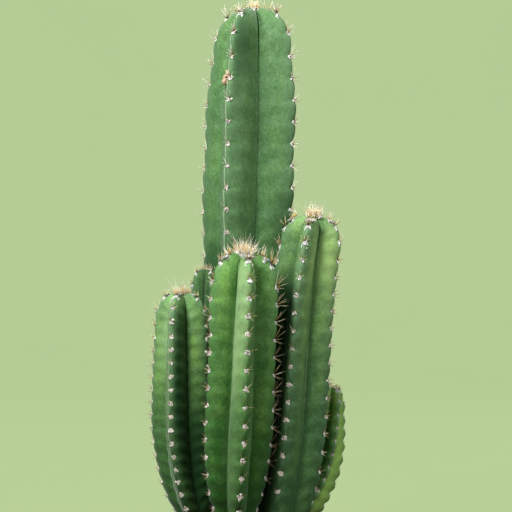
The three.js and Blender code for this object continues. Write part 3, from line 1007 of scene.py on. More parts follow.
class Stem:
    """One ribbed stem: its fine skin, the felt and spines of its areoles, and the tuft on its tip."""

    GROOVES: Stations = ((0, 0.82), (0.12, 0.62), (0.3, 0.5), (0.7, 0.42), (1, 0.34))  # shares of the radius
    FLANK_POWER = 1.1
    CREST_POWER = 6
    DOME_POWER = 2.35
    DIMPLE = 3.0  # how deep the tip sinks under the tuft
    BARE_FOOT = 9.0
    BARE_STEPS = 2  # without areoles above the bare foot
    SWELL_PEAK = 0.33  # where a rib swells most, as a share of the way down to the next areole
    SPINE_CLEAR = 1.2  # what a spine keeps from another stem
    TOP_PAD = 0.6  # where the pads beside the tuft sit, as a share of the way to the first areole
    SPINE_CUTS = (1.0, 0.75, 0.55, 0.35)  # the lengths that a spine may be cut back to
    PAINTED_SHADE_ROOM = 22.0  # how near another stem must stand to cast painted shade on the skin
    COLUMN_WARP = 0.55  # how much closer the columns stand at crests and grooves
    CREASE_WIDTH = 0.042
    FULL_CREASE = 2.6  # the depth at which the painted shade in a groove is darkest
    CHEVRON = 0.5  # how far the flanks swell in chevrons between the areoles
    CHEVRON_LEAN = 0.55
    LUMP = 0.3  # how far they swell without a pattern
    LUMP_WAVES = 9
    TRACE_POINTS = 160  # twice as many as the places along the axis at which clearances are measured
    PROBE = (2, 4)  # millimetres along a rib and degrees round it, for the directions at an areole
    YOUNG_STEPS = 3.2  # the steps from the tip over which areoles age
    FELT_REACH = 4.0  # how far round an areole the skin lies under felt
    PAD_SIZES = (0.88, 1.12)  # the smallest and the largest, as a share of the plan's
    PAD_WIDTH = 2.7  # half a pad's width
    PAD_HEIGHT = 2.0  # half its height
    LUMPS = 10  # of wool in each pad
    MIDDLE_LUMP = 0.4  # how far off its heart a pad's first lump may lie, as a share of the others
    LUMP_LIFT = 0.35
    LUMP_HAIRS = 4
    THINNEST = 9.0  # the least radius with which a way aside is turned into an angle
    LEGGED_YOUTH = 0.7  # the least youth of a pad with legs
    LEG_PARTS = ((0.9, 0.42), (1.5, 0.3))  # how far down each part hangs and its size, in leg widths
    LEG_WIDTH = 3.0  # of a pad of size 1
    LEG_SHAPE = (0.7, 1.5, 0.6)  # sideways, upward and outward
    LEG_HAIRS = 5
    SPINE_COUNTS = (5.4, 8.4)  # on an old areole and on a young one, like the next three
    SPINE_FANS = (2.9, 1.6)  # half the fan, in radians
    SPINE_LEANS = (0.88, 1.05)  # away from the areole's outward direction, in radians
    SPINE_WIDTHS = (0.72, 0.86)  # shares of the plan's
    SPINE_LENGTHS = (0.75, 1.25)  # the shortest and the longest, as a share of the plan's
    SPINE_LIFT = 0.6
    INNER_LEAN = 0.4  # how far every third spine leans, as a share of the others
    YOUNG_RISE = 0.12
    OUTWARD_PUSH = 0.15
    CROWDED_DROP = 1.5  # how far spines turn down where the tuft is close
    TUFTS = 20  # of wool on the tip
    TUFT_SIZES = (0.18, 0.3)  # shares of the tip's radius
    BEARD_WIDTH = 3.8  # half the width of the hairs below a pad
    BEARD_FAN = 0.85  # how far the outermost hairs turn aside, in radians
    BEARD_LENGTHS = (4.5, 9.5)
    NEEDLE_LENGTHS = (0.35, 0.58, 1.3)  # the shortest, the usual and the longest share of the full one
    LARGE_TUFT = 10.5  # the radius of a tuft whose needles have their full width

    def __init__(self, plan: StemPlan) -> None:
        """Works out the stem's axis, its domed tip and the steps of its areoles.

        Args:
            plan: The stem's sizes.
        """
        self.plan = plan
        self.axis = AxisCurve(plan.route)
        self.length = self.axis.length
        self.foot = np.array(plan.route[0][:2], float)
        self.shoulder = self.length - plan.dome
        self.shoulder_radius = float(self.radius_at(np.array([self.shoulder]))[0])
        self.dome_arc = (math.pi / 2) * math.sqrt((self.shoulder_radius**2 + plan.dome**2) / 2)
        self.reach = self.shoulder + self.dome_arc
        self.steps = self.areole_steps()
        trace_at = np.linspace(0, 1, self.TRACE_POINTS)[::2]
        self.trace = self.axis.point(trace_at)
        self.trace_radius = self.radius_at(np.minimum(trace_at * self.length, self.shoulder))

    def radius_at(self, along: Array) -> Array:
        """The radius of the crests at distances along the axis."""
        height = self.axis.point(along / self.length)[:, 2]
        return through(self.plan.girths, height)

    def areole_steps(self) -> Array:
        """Distances over the crest at which the areoles sit, from the tip down.

        Returns:
            The distances, the highest first.
        """
        plan = self.plan
        steps = [self.reach - down for down in plan.top_areoles]
        while steps[-1] - plan.step > self.BARE_STEPS * plan.step + self.BARE_FOOT:
            steps.append(steps[-1] - plan.step)
        return np.array(steps)

    def envelope(self, over: Array) -> tuple[Array, Array, Array, Array]:
        """The envelope that the crests touch.

        Args:
            over: Distances from the foot, measured over the crest of a rib.

        Returns:
            The radius, the distance along the axis, and the outward and upward parts of the normal.
        """
        power = self.DOME_POWER
        turn = np.clip((over - self.shoulder) / self.dome_arc, 0, 1) * (math.pi / 2)
        across = np.maximum(np.cos(turn), 0) ** (2 / power)
        up = np.sin(turn) ** (2 / power)
        outward = across ** (power - 1) / self.shoulder_radius
        upward = up ** (power - 1) / self.plan.dome
        size = np.hypot(outward, upward)
        flank = over <= self.shoulder
        radius = np.where(flank, self.radius_at(over), self.shoulder_radius * across)
        along = np.where(flank, over, self.shoulder + self.plan.dome * up)
        return radius, along, outward / size, upward / size

    def between_ribs(self, degrees: Array) -> tuple[Array, Array]:
        """How points lie between the ribs beside them.

        Args:
            degrees: Angles round the stem.

        Returns:
            1 on a crest to 0 in a groove, and the lag of the areoles there.
        """
        ribs = self.plan.ribs
        crest = np.ones_like(degrees)
        lag = np.zeros_like(degrees)
        for i, start in enumerate(ribs):
            following = (i + 1) % len(ribs)
            end = ribs[following] + (360 if following == 0 else 0)
            share = np.mod(degrees - start, 360) / (end - start)
            inside = share <= 1
            crest = np.where(inside, np.abs(2 * share - 1), crest)
            lag = np.where(inside, lerp(self.plan.lags[i], self.plan.lags[following], share), lag)
        return crest, lag

    def between_areoles(self, over: Array) -> Array:
        """How far points lie down from an areole to the next one: 0 at the upper, 1 at the lower.

        Args:
            over: Distances from the foot, measured over the crest.

        Returns:
            Shares of the way from one areole to the next.
        """
        rising = self.steps[::-1]
        edges = np.concatenate([[rising[0] - self.plan.step], rising])
        place = np.clip(np.searchsorted(edges, over, side="right"), 1, len(edges) - 1)
        share = (edges[place] - over) / (edges[place] - edges[place - 1])
        return np.where(over >= rising[-1], self.SWELL_PEAK, np.clip(share, 0, 1))

    def swelling(self, over: Array) -> Array:
        """How far a rib has swollen: 0 at an areole, 1 where it is fullest.

        Args:
            over: Distances from the foot, measured over the crest.

        Returns:
            Numbers from 0 to 1.
        """
        share = self.between_areoles(over)
        swell = np.sin(math.pi * share ** (math.log(0.5) / math.log(self.SWELL_PEAK)))
        return np.where(over >= self.steps[0], 1 - self.SWELL_PEAK, swell)

    def lumps(self, over: Array, degrees: Array) -> Array:
        """Slow unevenness of the skin, from about -1 to 1.

        Args:
            over: Distances from the foot, measured over the crest.
            degrees: Angles round the stem.

        Returns:
            The sum of slow waves, mostly between these bounds.
        """
        draw = np.random.default_rng(self.plan.seed)
        total = np.zeros_like(over)
        for _ in range(self.LUMP_WAVES):
            wave = draw.uniform(35, 150)
            turns = int(draw.integers(-6, 7))
            phase = draw.uniform(0, math.tau)
            total += np.sin(math.tau * over / wave + turns * np.radians(degrees) + phase)
        return total / (self.LUMP_WAVES / 2)

    def crease(self, over: Array, crest: Array) -> Array:
        """How deep the line in a groove is, deepest near the tip."""
        shallow, deepest, fade = self.plan.crease
        return lerp(shallow, deepest, bell(self.reach - over, fade)) * bell(crest, self.CREASE_WIDTH)

    def marks(self, over: Array, degrees: Array) -> Array:
        """The painted light and shade on the skin: 1 in the middle of painted light, -1 in the middle of
        painted shade.

        Args:
            over: Distances from the foot, measured over the crest.
            degrees: Angles round the stem.

        Returns:
            Numbers from -1 to 1.
        """
        total = np.zeros_like(over)
        for mark in self.plan.marks:
            aside = bell(wrapped(degrees - mark.degrees), mark.width)
            total += mark.strength * aside * bell(self.reach - over - mark.down, mark.height)
        return np.clip(total, -1, 1)

    def crest_highlight(self, radius: Array, degrees: Array) -> Array:
        """How close points are to the painted highlight line that runs behind each crest: 1 on it, then
        less.

        Args:
            radius: The radius of the crests there.
            degrees: Angles round the stem.

        Returns:
            Numbers from 0 to 1.
        """
        ribs = np.array(self.plan.ribs, float)
        aside = np.radians(wrapped(degrees[:, None] - ribs)) * radius[:, None]
        place, width = self.plan.line
        return bell(np.abs(aside - place * np.sign(ribs)).min(axis=1), width)

    def rounded(self, crest: Array) -> Array:
        """The place between groove and crest, with a rounded crest and full lips beside the groove.

        Args:
            crest: 1 on a sharp crest, 0 in a groove.

        Returns:
            The same, rounded.
        """
        edge, lip = self.plan.round_crest, self.plan.lip
        lifted = np.sqrt(crest**2 + lip**2) / math.sqrt(1 + lip**2)
        away = (np.sqrt((1 - lifted) ** 2 + edge**2) - edge) / (math.sqrt(1 + edge**2) - edge)
        return 1 - away

    def skin(self, over: Array, degrees: Array) -> Array:
        """Points of the skin.

        Args:
            over: Distances from the foot, measured over the crest.
            degrees: Angles round the stem.

        Returns:
            One point in each row, in millimetres.
        """
        plan = self.plan
        crest, lag = self.between_ribs(degrees)
        soft = self.rounded(crest)
        near_tip = smoothstep(over, self.reach - plan.top_areoles[0], self.reach)
        grown = smoothstep(over, 0, self.BARE_STEPS * plan.step) * (1 - near_tip)
        shifted = np.clip(over - lag * plan.step * grown, 0, self.reach)
        radius, along, outward, upward = self.envelope(shifted)
        groove = through(self.GROOVES, along / self.length)
        size = radius / self.shoulder_radius
        rib = radius * (1 - groove) * (1 - soft**self.FLANK_POWER)
        notch = plan.notch * grown * (1 - self.swelling(over)) * soft**self.CREST_POWER
        crease = self.crease(over, crest) * np.minimum(size, 1)
        flank = 4 * crest * (1 - crest)
        chevron = np.cos(math.tau * (self.between_areoles(over) - self.CHEVRON_LEAN * (1 - crest)))
        bulge = grown * flank * (self.CHEVRON * chevron + self.LUMP * self.lumps(over, degrees))
        inset = rib + notch + crease - bulge
        dimple = self.DIMPLE * np.maximum(0, 1 - radius / plan.tuft.radius) ** 2
        out = np.maximum(radius - inset * outward, 0)
        return self.place(along - inset * upward - dimple, out, degrees)

    def place(self, along: Array, radius: Array, degrees: Array) -> Array:
        """Points beside the axis.

        Args:
            along: Distances along the axis.
            radius: Distances from it.
            degrees: Angles round it, which the stem's twist turns.

        Returns:
            One point in each row.
        """
        share = np.clip(along / self.length, 0, 1)
        tangent = self.axis.tangent(share)
        right = unit(np.array([[1.0, 0.0, 0.0]]) - tangent * tangent[:, :1])
        front = np.cross(right, tangent)
        angle = np.radians(degrees + self.plan.twist * share)[:, None]
        out = radius[:, None] * (right * np.sin(angle) + front * np.cos(angle))
        return self.axis.point(share) + tangent * (along - share * self.length)[:, None] + out

    def clearance(self, points: Array) -> Array:
        """How far points lie outside the crests of this stem.

        Args:
            points: One point in each row.

        Returns:
            One distance for each point.
        """
        apart = [
            np.linalg.norm(points - spot, axis=1) - radius
            for spot, radius in zip(self.trace, self.trace_radius)
        ]
        return np.min(apart, axis=0)

    def areoles(self, overs: Array) -> Areoles:
        """The frames of areoles on every crest.

        Args:
            overs: The distances over the crest at which they sit.

        Returns:
            Their places and directions.
        """
        over, degrees = (grid.ravel() for grid in np.meshgrid(overs, np.array(self.plan.ribs, float)))
        heart = self.skin(over, degrees)
        rise, turn = self.PROBE
        high = np.minimum(over + rise, self.reach)
        up = unit(self.skin(high, degrees) - self.skin(over - rise, degrees))
        side = unit(self.skin(over, degrees + turn) - self.skin(over, degrees - turn))
        out = unit(np.cross(side, up))
        up = np.cross(out, side)
        steps_down = np.maximum(self.reach - over - self.plan.top_areoles[0], 0) / self.plan.step
        return Areoles(over, degrees, heart, side, up, out, np.exp(-steps_down / self.YOUNG_STEPS))

    def top_spots(self) -> Areoles:
        """The places where the ribs run into the tuft."""
        return self.areoles(np.array([self.reach - self.TOP_PAD * self.plan.top_areoles[0]]))

    def build_skin(self, others: list["Stem"]) -> Piece:
        """The closed skin, woven finely enough to show its humps and creases.

        Args:
            others: The stems beside this one.

        Returns:
            The piece, which stands for the stem's solid.
        """
        plan = self.plan
        profile = [(0.0, 0.0), *((1.0, float(row + 1)) for row in range(plan.rows)), (0.0, plan.rows + 1.0)]
        mesh = revolved(plan.name + "_skin", profile, plan.columns)
        raw = points_of(mesh)
        row = np.round(raw[:, 2]).astype(int)
        turn = np.mod(np.arctan2(raw[:, 1], raw[:, 0]), math.tau) / math.tau * len(plan.ribs)
        share = turn - np.floor(turn)
        share -= self.COLUMN_WARP * np.sin(2 * math.tau * share) / (2 * math.tau)
        ends = np.array([*plan.ribs[1:], plan.ribs[0] + 360.0])
        rib = np.floor(turn).astype(int) % len(plan.ribs)
        degrees = lerp(np.array(plan.ribs, float)[rib], ends[rib], share)
        over = self.reach * np.clip((row - 1) / plan.rows, 0, 1)
        points = self.skin(over, degrees)
        foot = row == 0
        points[foot] = self.place(np.zeros(foot.sum()), np.zeros(foot.sum()), degrees[foot])
        mesh.vertices.foreach_set("co", (points * MM).ravel())
        crest = self.between_ribs(degrees)[0]
        radius = self.envelope(over)[0]
        gap = math.pi * radius / len(plan.ribs)
        nearest = np.abs(over[:, None] - self.steps[None]).min(axis=1)
        near = np.min([other.clearance(points) for other in others], axis=0)
        values = {
            Attribute.CREST: crest,
            Attribute.HUMP: self.swelling(over),
            Attribute.CREASE: np.clip(self.crease(over, crest) / self.FULL_CREASE, 0, 1),
            Attribute.LINE: self.crest_highlight(radius, degrees),
            Attribute.MARK: self.marks(over, degrees),
            Attribute.FELT: bell(np.hypot(nearest, (1 - crest) * gap), self.FELT_REACH),
            Attribute.YOUTH: np.exp(-(self.reach - over) / plan.fade),
            # painted shade near the other stems
            Attribute.PAINTED_SHADE: smoothstep(near, self.PAINTED_SHADE_ROOM, 0.0),
        }
        for attribute, value in values.items():
            store(mesh, attribute, value)
        skin = link(plan.name + "_skin", mesh, plan.finish.material(plan.name + "_skin"))
        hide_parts(plan.name)
        return skin

    def build_felt(self, felt: Material) -> Piece:
        """The felt of the areoles: small lumps of wool with hairs, hanging lower on the youngest.

        Args:
            felt: The material of wool.

        Returns:
            The piece.
        """
        assembly = Assembly()
        draw = np.random.default_rng(self.plan.seed + 1)
        self.add_pads(assembly, self.areoles(self.steps), draw, self.plan.pad)
        return assembly.piece(self.plan.name + "_felt", felt)

    def add_pads(self, assembly: Assembly, spots: Areoles, draw: Chance, scale: float) -> None:
        """Adds the lumps of wool and the hairs of areoles.

        Args:
            assembly: Where they go.
            spots: The areoles.
            draw: The source of chance.
            scale: The size of the pads, 1 for grown ones.
        """
        count = len(spots.over)
        size = scale * draw.uniform(*self.PAD_SIZES, count)
        ball = Shape.ball(1)
        lumps = self.LUMPS
        turn = np.linspace(0, math.tau, lumps, endpoint=False) + draw.normal(0, 0.3, (count, lumps))
        off = draw.uniform(0.2, 0.98, (count, lumps))
        sideways = self.PAD_WIDTH * np.cos(turn) * off
        upward = self.PAD_HEIGHT * np.sin(turn) * off
        upward -= spots.youth[:, None] ** 3 * (1.1 + 0.3 * np.abs(sideways)) * (upward < 0.8)
        sideways[:, 0] *= self.MIDDLE_LUMP
        upward[:, 0] *= self.MIDDLE_LUMP
        sideways, upward = sideways * size[:, None], upward * size[:, None]
        over = (spots.over[:, None] + upward).ravel()
        radius = np.maximum(self.envelope(spots.over)[0], self.THINNEST)[:, None]
        degrees = (spots.degrees[:, None] + np.degrees(sideways / radius)).ravel()
        hearts = self.skin(np.minimum(over, self.reach), degrees)
        _, side, up, out = spots.repeated(lumps)
        hearts = hearts + out * self.LUMP_LIFT
        bulk = np.repeat(size, lumps) * draw.uniform(0.8, 1.25, count * lumps)
        sizes = (bulk, bulk * draw.uniform(0.9, 1.35, len(bulk)), bulk * draw.uniform(0.65, 0.95, len(bulk)))
        youth = np.repeat(spots.youth, lumps)
        values = {Attribute.YOUTH: youth, Attribute.TONE: draw.uniform(0, 1, len(bulk))}
        assembly.add(ball, pads(ball, hearts, (side, up, out), sizes), values)
        self.add_hairs(assembly, hearts, (side, up, out), sizes, youth, draw, self.LUMP_HAIRS)
        self.add_legs(assembly, ball, spots, self.LEG_WIDTH * size, draw)

    def add_legs(self, assembly: Assembly, ball: Shape, spots: Areoles, width: Array, draw: Chance) -> None:
        """Adds the two short legs of wool that hang down from the youngest pads, beside the crest.

        Args:
            assembly: Where they go.
            ball: The shape that they are made from.
            spots: The stem's areoles.
            width: The width to which the legs of each pad are scaled.
            draw: The source of chance.
        """
        young = spots.youth > self.LEGGED_YOUTH
        if not young.any():
            return
        many = young.sum()
        over, degrees, youth = spots.over[young], spots.degrees[young], spots.youth[young]
        width = width[young]
        axes = (spots.side[young], spots.up[young], spots.out[young])
        radius = np.maximum(self.envelope(over)[0], self.THINNEST)
        for hand in (-1, 1):
            for drop, shrink in self.LEG_PARTS:
                reach = width * drop * draw.uniform(0.7, 1.15, many)
                turn = np.degrees(width * (0.7 + 0.15 * drop) * hand / radius)
                at = self.skin(over - reach, degrees + turn)
                size = width * shrink * draw.uniform(0.7, 1.2, many)
                sizes = tuple(size * share for share in self.LEG_SHAPE)
                values = {Attribute.YOUTH: youth, Attribute.TONE: draw.uniform(0.3, 1, many)}
                assembly.add(ball, pads(ball, at, axes, sizes), values)
                self.add_hairs(assembly, at, axes, sizes, youth, draw, self.LEG_HAIRS)

    @staticmethod
    def add_hairs(
        assembly: Assembly, hearts: Array, axes: Axes, sizes: Axes, youth: Array, draw: Chance, each: int
    ) -> None:
        """Adds short curled hairs all over pads.

        Args:
            assembly: Where they go.
            hearts: The middle of each pad.
            axes: Its sideways, upward and outward directions.
            sizes: Its reach in these directions.
            youth: How young it is.
            draw: The source of chance.
            each: The number of hairs on a pad.
        """
        hair = Shape.rod(3, ((0.0, 1.0), (0.55, 0.7)))
        turn = draw.uniform(0, math.tau, (len(hearts), each))
        lean = np.sqrt(draw.uniform(0.1, 1.0, (len(hearts), each)))
        parts = (np.cos(turn) * lean, np.sin(turn) * lean, np.sqrt(1 - 0.95 * lean**2))
        reaches = (axis * size[:, None] for axis, size in zip(axes, sizes))
        off = sum(part[..., None] * reach[:, None] for part, reach in zip(parts, reaches))
        way = sum(part[..., None] * axis[:, None] for part, axis in zip(parts, axes))
        roots = (hearts[:, None] + 0.85 * off).reshape(-1, 3)
        ways = unit(way.reshape(-1, 3) + draw.normal(0, 0.25, roots.shape))
        scale = np.repeat(sizes[0], each)
        lengths = scale * draw.uniform(0.7, 1.5, len(roots))
        bends = draw.normal(0, 0.3, roots.shape)
        places = bristles(hair, roots, ways, lengths, np.full(len(roots), HAIR_RADIUS), bends)
        tone = draw.uniform(0, 1, len(roots))
        assembly.add(hair, places, {Attribute.YOUTH: np.repeat(youth, each), Attribute.TONE: tone})

    def build_spines(self, others: list["Stem"], thorn: Material) -> Piece:
        """The spines of every areole: a fan of golden ones on young pads, fewer and greyer on old ones.

        Args:
            others: The stems that they have to stay clear of.
            thorn: The material of spines.

        Returns:
            The piece.
        """
        draw = np.random.default_rng(self.plan.seed + 2)
        spots = self.areoles(self.steps)
        fans = [self.fan(spots, row, draw) for row in range(len(spots.over))]
        root, way, length, radii, youth = (np.concatenate(parts) for parts in zip(*fans))
        length = self.cut_back(root, way, length, others)
        rod = Shape.rod(5, ((0.0, 1.0), (0.3, 0.86), (0.68, 0.5)))
        assembly = Assembly()
        places = bristles(rod, root, way, length, radii, draw.normal(0, 0.03, root.shape))
        assembly.add_rods(rod, places, youth, draw)
        return assembly.piece(self.plan.name + "_spines", thorn)

    def fan(self, spots: Areoles, row: int, draw: Chance) -> tuple[Array, ...]:
        """The spines of one areole.

        Args:
            spots: The stem's areoles.
            row: The row of this one.
            draw: The source of chance.

        Returns:
            The roots, directions, lengths, radii and youth of its spines.
        """
        plan = self.plan
        over, youth = spots.over[row], spots.youth[row]
        side, up, out = spots.side[row], spots.up[row], spots.out[row]
        many = int(round(lerp(*self.SPINE_COUNTS, youth) + draw.uniform(-0.7, 0.7)))
        crowded = max(0.0, 1 - (self.reach - over) / (2 * plan.tuft.radius))
        spread = lerp(*self.SPINE_FANS, youth)
        turn = np.linspace(-spread, spread, many) + draw.normal(0, 0.14, many)
        inner = np.where(np.arange(many) % 3 == 1, self.INNER_LEAN, 1.0)
        lean = inner * lerp(*self.SPINE_LEANS, youth**2) + draw.normal(0, 0.12, many)
        upward = (np.cos(turn) * np.sin(lean) + self.YOUNG_RISE * youth)[:, None]
        across = (np.sin(turn) * np.sin(lean))[:, None] * side
        outward = (np.cos(lean) + self.OUTWARD_PUSH)[:, None]
        way = unit(across + upward * (1 - self.CROWDED_DROP * crowded) * up + outward * out)
        share = plan.rib_spines[plan.ribs.index(int(spots.degrees[row]))]
        full = plan.spine * lerp(plan.old_spine, 1.0, over / self.reach) * share
        length = full * draw.uniform(*self.SPINE_LENGTHS, many) * (1.12 - 0.13 * np.abs(turn))
        root = spots.heart[row] + out * self.SPINE_LIFT + across * 1.3 + (0.8 * upward + youth) * up
        radii = plan.spine_width * lerp(*self.SPINE_WIDTHS, youth) * draw.uniform(0.85, 1.15, many)
        return root, way, length, radii, np.full(many, youth)

    def cut_back(self, root: Array, way: Array, length: Array, others: list["Stem"]) -> Array:
        """Shortens spines that would reach into another stem.

        Args:
            root: Where each spine starts.
            way: Its direction.
            length: Its full length.
            others: The other stems.

        Returns:
            The lengths that stay clear.
        """
        kept = length * self.SPINE_CUTS[-1] * 0.5
        for cut in reversed(self.SPINE_CUTS):
            tip = root + way * (length * cut)[:, None]
            clear = np.all([other.clearance(tip) > self.SPINE_CLEAR for other in others], axis=0)
            kept = np.where(clear, length * cut, kept)
        return kept

    def build_tuft(self, felt: Material, thorn: Material) -> list[Piece]:
        """The wool cushion on the tip and the needles that stand in it.

        Args:
            felt: The material of wool.
            thorn: The material of spines.

        Returns:
            The wool, which stands for the tuft's solid, and the needles.
        """
        plan, tuft = self.plan, self.plan.tuft
        draw = np.random.default_rng(plan.seed + 3)
        apex = self.skin(np.array([self.reach]), np.array([plan.ribs[0]]))[0]
        tip = self.axis.tangent(np.array([1.0]))[0]
        right = unit(np.array([1.0, 0.0, 0.0]) - tip * tip[0])
        ahead = np.cross(tip, right)
        wool = Assembly()
        tufts = self.TUFTS
        turn, reach = sunflower(tufts)
        sideways = (reach * np.cos(turn))[:, None] * right + (reach * np.sin(turn))[:, None] * ahead
        dome = (tuft.rise + self.DIMPLE) * np.sqrt(np.maximum(1 - (0.96 * reach) ** 2, 0))
        width = tuft.radius * (0.35 + 0.5 * tuft.wool**0.5)
        hearts = apex + sideways * width + tip * (dome * 0.38 - 0.4)[:, None]
        out = unit(sideways * 0.9 + tip)
        side = unit(np.cross(np.broadcast_to(tip, out.shape), sideways + 1e-6 * right))
        axes = (side, np.cross(out, side), out)
        size = tuft.radius * tuft.wool * draw.uniform(*self.TUFT_SIZES, tufts)
        sizes = (size, size, size * draw.uniform(0.9, 1.3, tufts))
        ball = Shape.ball(2)
        young = np.ones(tufts)
        values = {Attribute.YOUTH: young, Attribute.TONE: draw.uniform(0.4, 1, tufts)}
        wool.add(ball, pads(ball, hearts, axes, sizes), values)
        width = np.array([tuft.radius * (0.25 + 0.55 * tuft.wool)])
        core = (width, width, np.array([tuft.rise * 0.45]))
        middle = pads(ball, apex[None], (right[None], ahead[None], tip[None]), core)
        wool.add(ball, middle, {kind: value[:1] for kind, value in values.items()})
        self.add_hairs(wool, hearts, axes, sizes, young, draw, max(tuft.hairs // tufts, 1))
        self.add_top_pads(wool, draw)
        solid = plan.name.replace("stem", "tuft")
        cushion = wool.piece(solid + "_wool", felt)
        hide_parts(solid)
        needles = self.tuft_needles(apex, (right, ahead, tip), draw)
        return [cushion, needles.piece(solid + "_needles", thorn)]

    def add_top_pads(self, wool: Assembly, draw: Chance) -> None:
        """Adds the woolly pads where the ribs run into the tuft.

        Args:
            wool: Where they go.
            draw: The source of chance.
        """
        scale = self.plan.pad * self.plan.tuft.wool
        spots = self.top_spots()
        self.add_pads(wool, spots, draw, 1.2 * scale)
        self.add_beards(wool, spots, scale, draw)

    def add_beards(self, wool: Assembly, spots: Areoles, scale: float, draw: Chance) -> None:
        """Adds the white hairs that hang down over the skin below young pads.

        Args:
            wool: Where they go.
            spots: The pads.
            scale: The size of the pads, 1 for large ones.
            draw: The source of chance.
        """
        hair = Shape.rod(3, ((0.0, 1.0), (0.5, 0.8)))
        heart, side, up, out = spots.repeated(BEARD_HAIRS)
        many = len(heart)
        aside = draw.uniform(-1.0, 1.0, (many, 1))
        down = draw.uniform(0, 2.6, (many, 1))
        root = heart + (side * aside * self.BEARD_WIDTH - up * down) * scale + out * 0.8
        turn = self.BEARD_FAN * aside
        way = unit(side * np.sin(turn) - up * np.cos(turn) + out * draw.uniform(0.05, 0.3, (many, 1)))
        length = scale * draw.uniform(*self.BEARD_LENGTHS, many)
        bends = draw.normal(0, 0.1, root.shape) - 0.16 * out
        places = bristles(hair, root, way, length, draw.uniform(0.2, 0.3, many), bends)
        values = {Attribute.YOUTH: np.ones(many), Attribute.TONE: draw.uniform(0.4, 1, many)}
        wool.add(hair, places, values)

    def tuft_needles(self, apex: Array, axes: Axes, draw: Chance) -> Assembly:
        """The young golden needles of a tuft.

        Args:
            apex: The middle of the tip.
            axes: The directions right, ahead and along the tip.
            draw: The source of chance.

        Returns:
            All of them, as one assembly.
        """
        tuft = self.plan.tuft
        right, ahead, tip = axes
        many = tuft.needles
        turn, reach = sunflower(many)
        turn = turn + draw.normal(0, 0.2, many)
        lean = lerp(0.02, tuft.spread, reach**1.3) + draw.normal(0, 0.16, many)
        flat = np.cos(turn)[:, None] * right + np.sin(turn)[:, None] * ahead
        across = flat * np.sin(lean)[:, None] + draw.normal(0, 0.2, flat.shape)
        way = unit(across + np.cos(lean)[:, None] * tip)
        root = apex + flat * (reach * tuft.radius * tuft.crown)[:, None] + tip * 0.5
        length = (tuft.length + tuft.rise * 0.55) * draw.triangular(*self.NEEDLE_LENGTHS, many)
        bends = draw.normal(0, 0.2, root.shape) + 0.12 * tip
        curls = draw.normal(0, 0.09, many)
        rod = Shape.rod(5, ((0.0, 1.0), (0.2, 0.88), (0.4, 0.66), (0.6, 0.46), (0.8, 0.27)))
        radii = draw.uniform(0.24, 0.38, many) * self.needle_scale()
        assembly = Assembly()
        places = bristles(rod, root, way, length, radii, bends, curls)
        assembly.add_rods(rod, places, np.ones(many), draw)
        self.add_top_needles(assembly, rod, tip, draw)
        return assembly

    def needle_scale(self) -> float:
        """How thick the needles are, against those of a large tuft."""
        return (self.plan.tuft.radius / self.LARGE_TUFT) ** 0.5

    def add_top_needles(self, assembly: Assembly, rod: Shape, tip: Array, draw: Chance) -> None:
        """Adds the short clusters of young needles where the ribs run into the tuft.

        Args:
            assembly: Where they go.
            rod: The shape that they are made from.
            tip: The direction along the tip.
            draw: The source of chance.
        """
        heart, side, up, out = self.top_spots().repeated(self.plan.tuft.cluster)
        many = len(heart)
        aside, high = draw.normal(0, 1.6, (2, many, 1))
        root = heart + side * aside + up * (high + 1.0) + out * 0.5
        way = unit(out * 0.7 + tip * 0.8 + side * aside * 0.22 + draw.normal(0, 0.24, root.shape))
        length = self.plan.tuft.length * draw.uniform(0.45, 0.95, many)
        radii = draw.uniform(0.24, 0.36, many) * self.needle_scale()
        places = bristles(rod, root, way, length, radii, draw.normal(0, 0.12, root.shape))
        assembly.add_rods(rod, places, np.ones(many), draw)


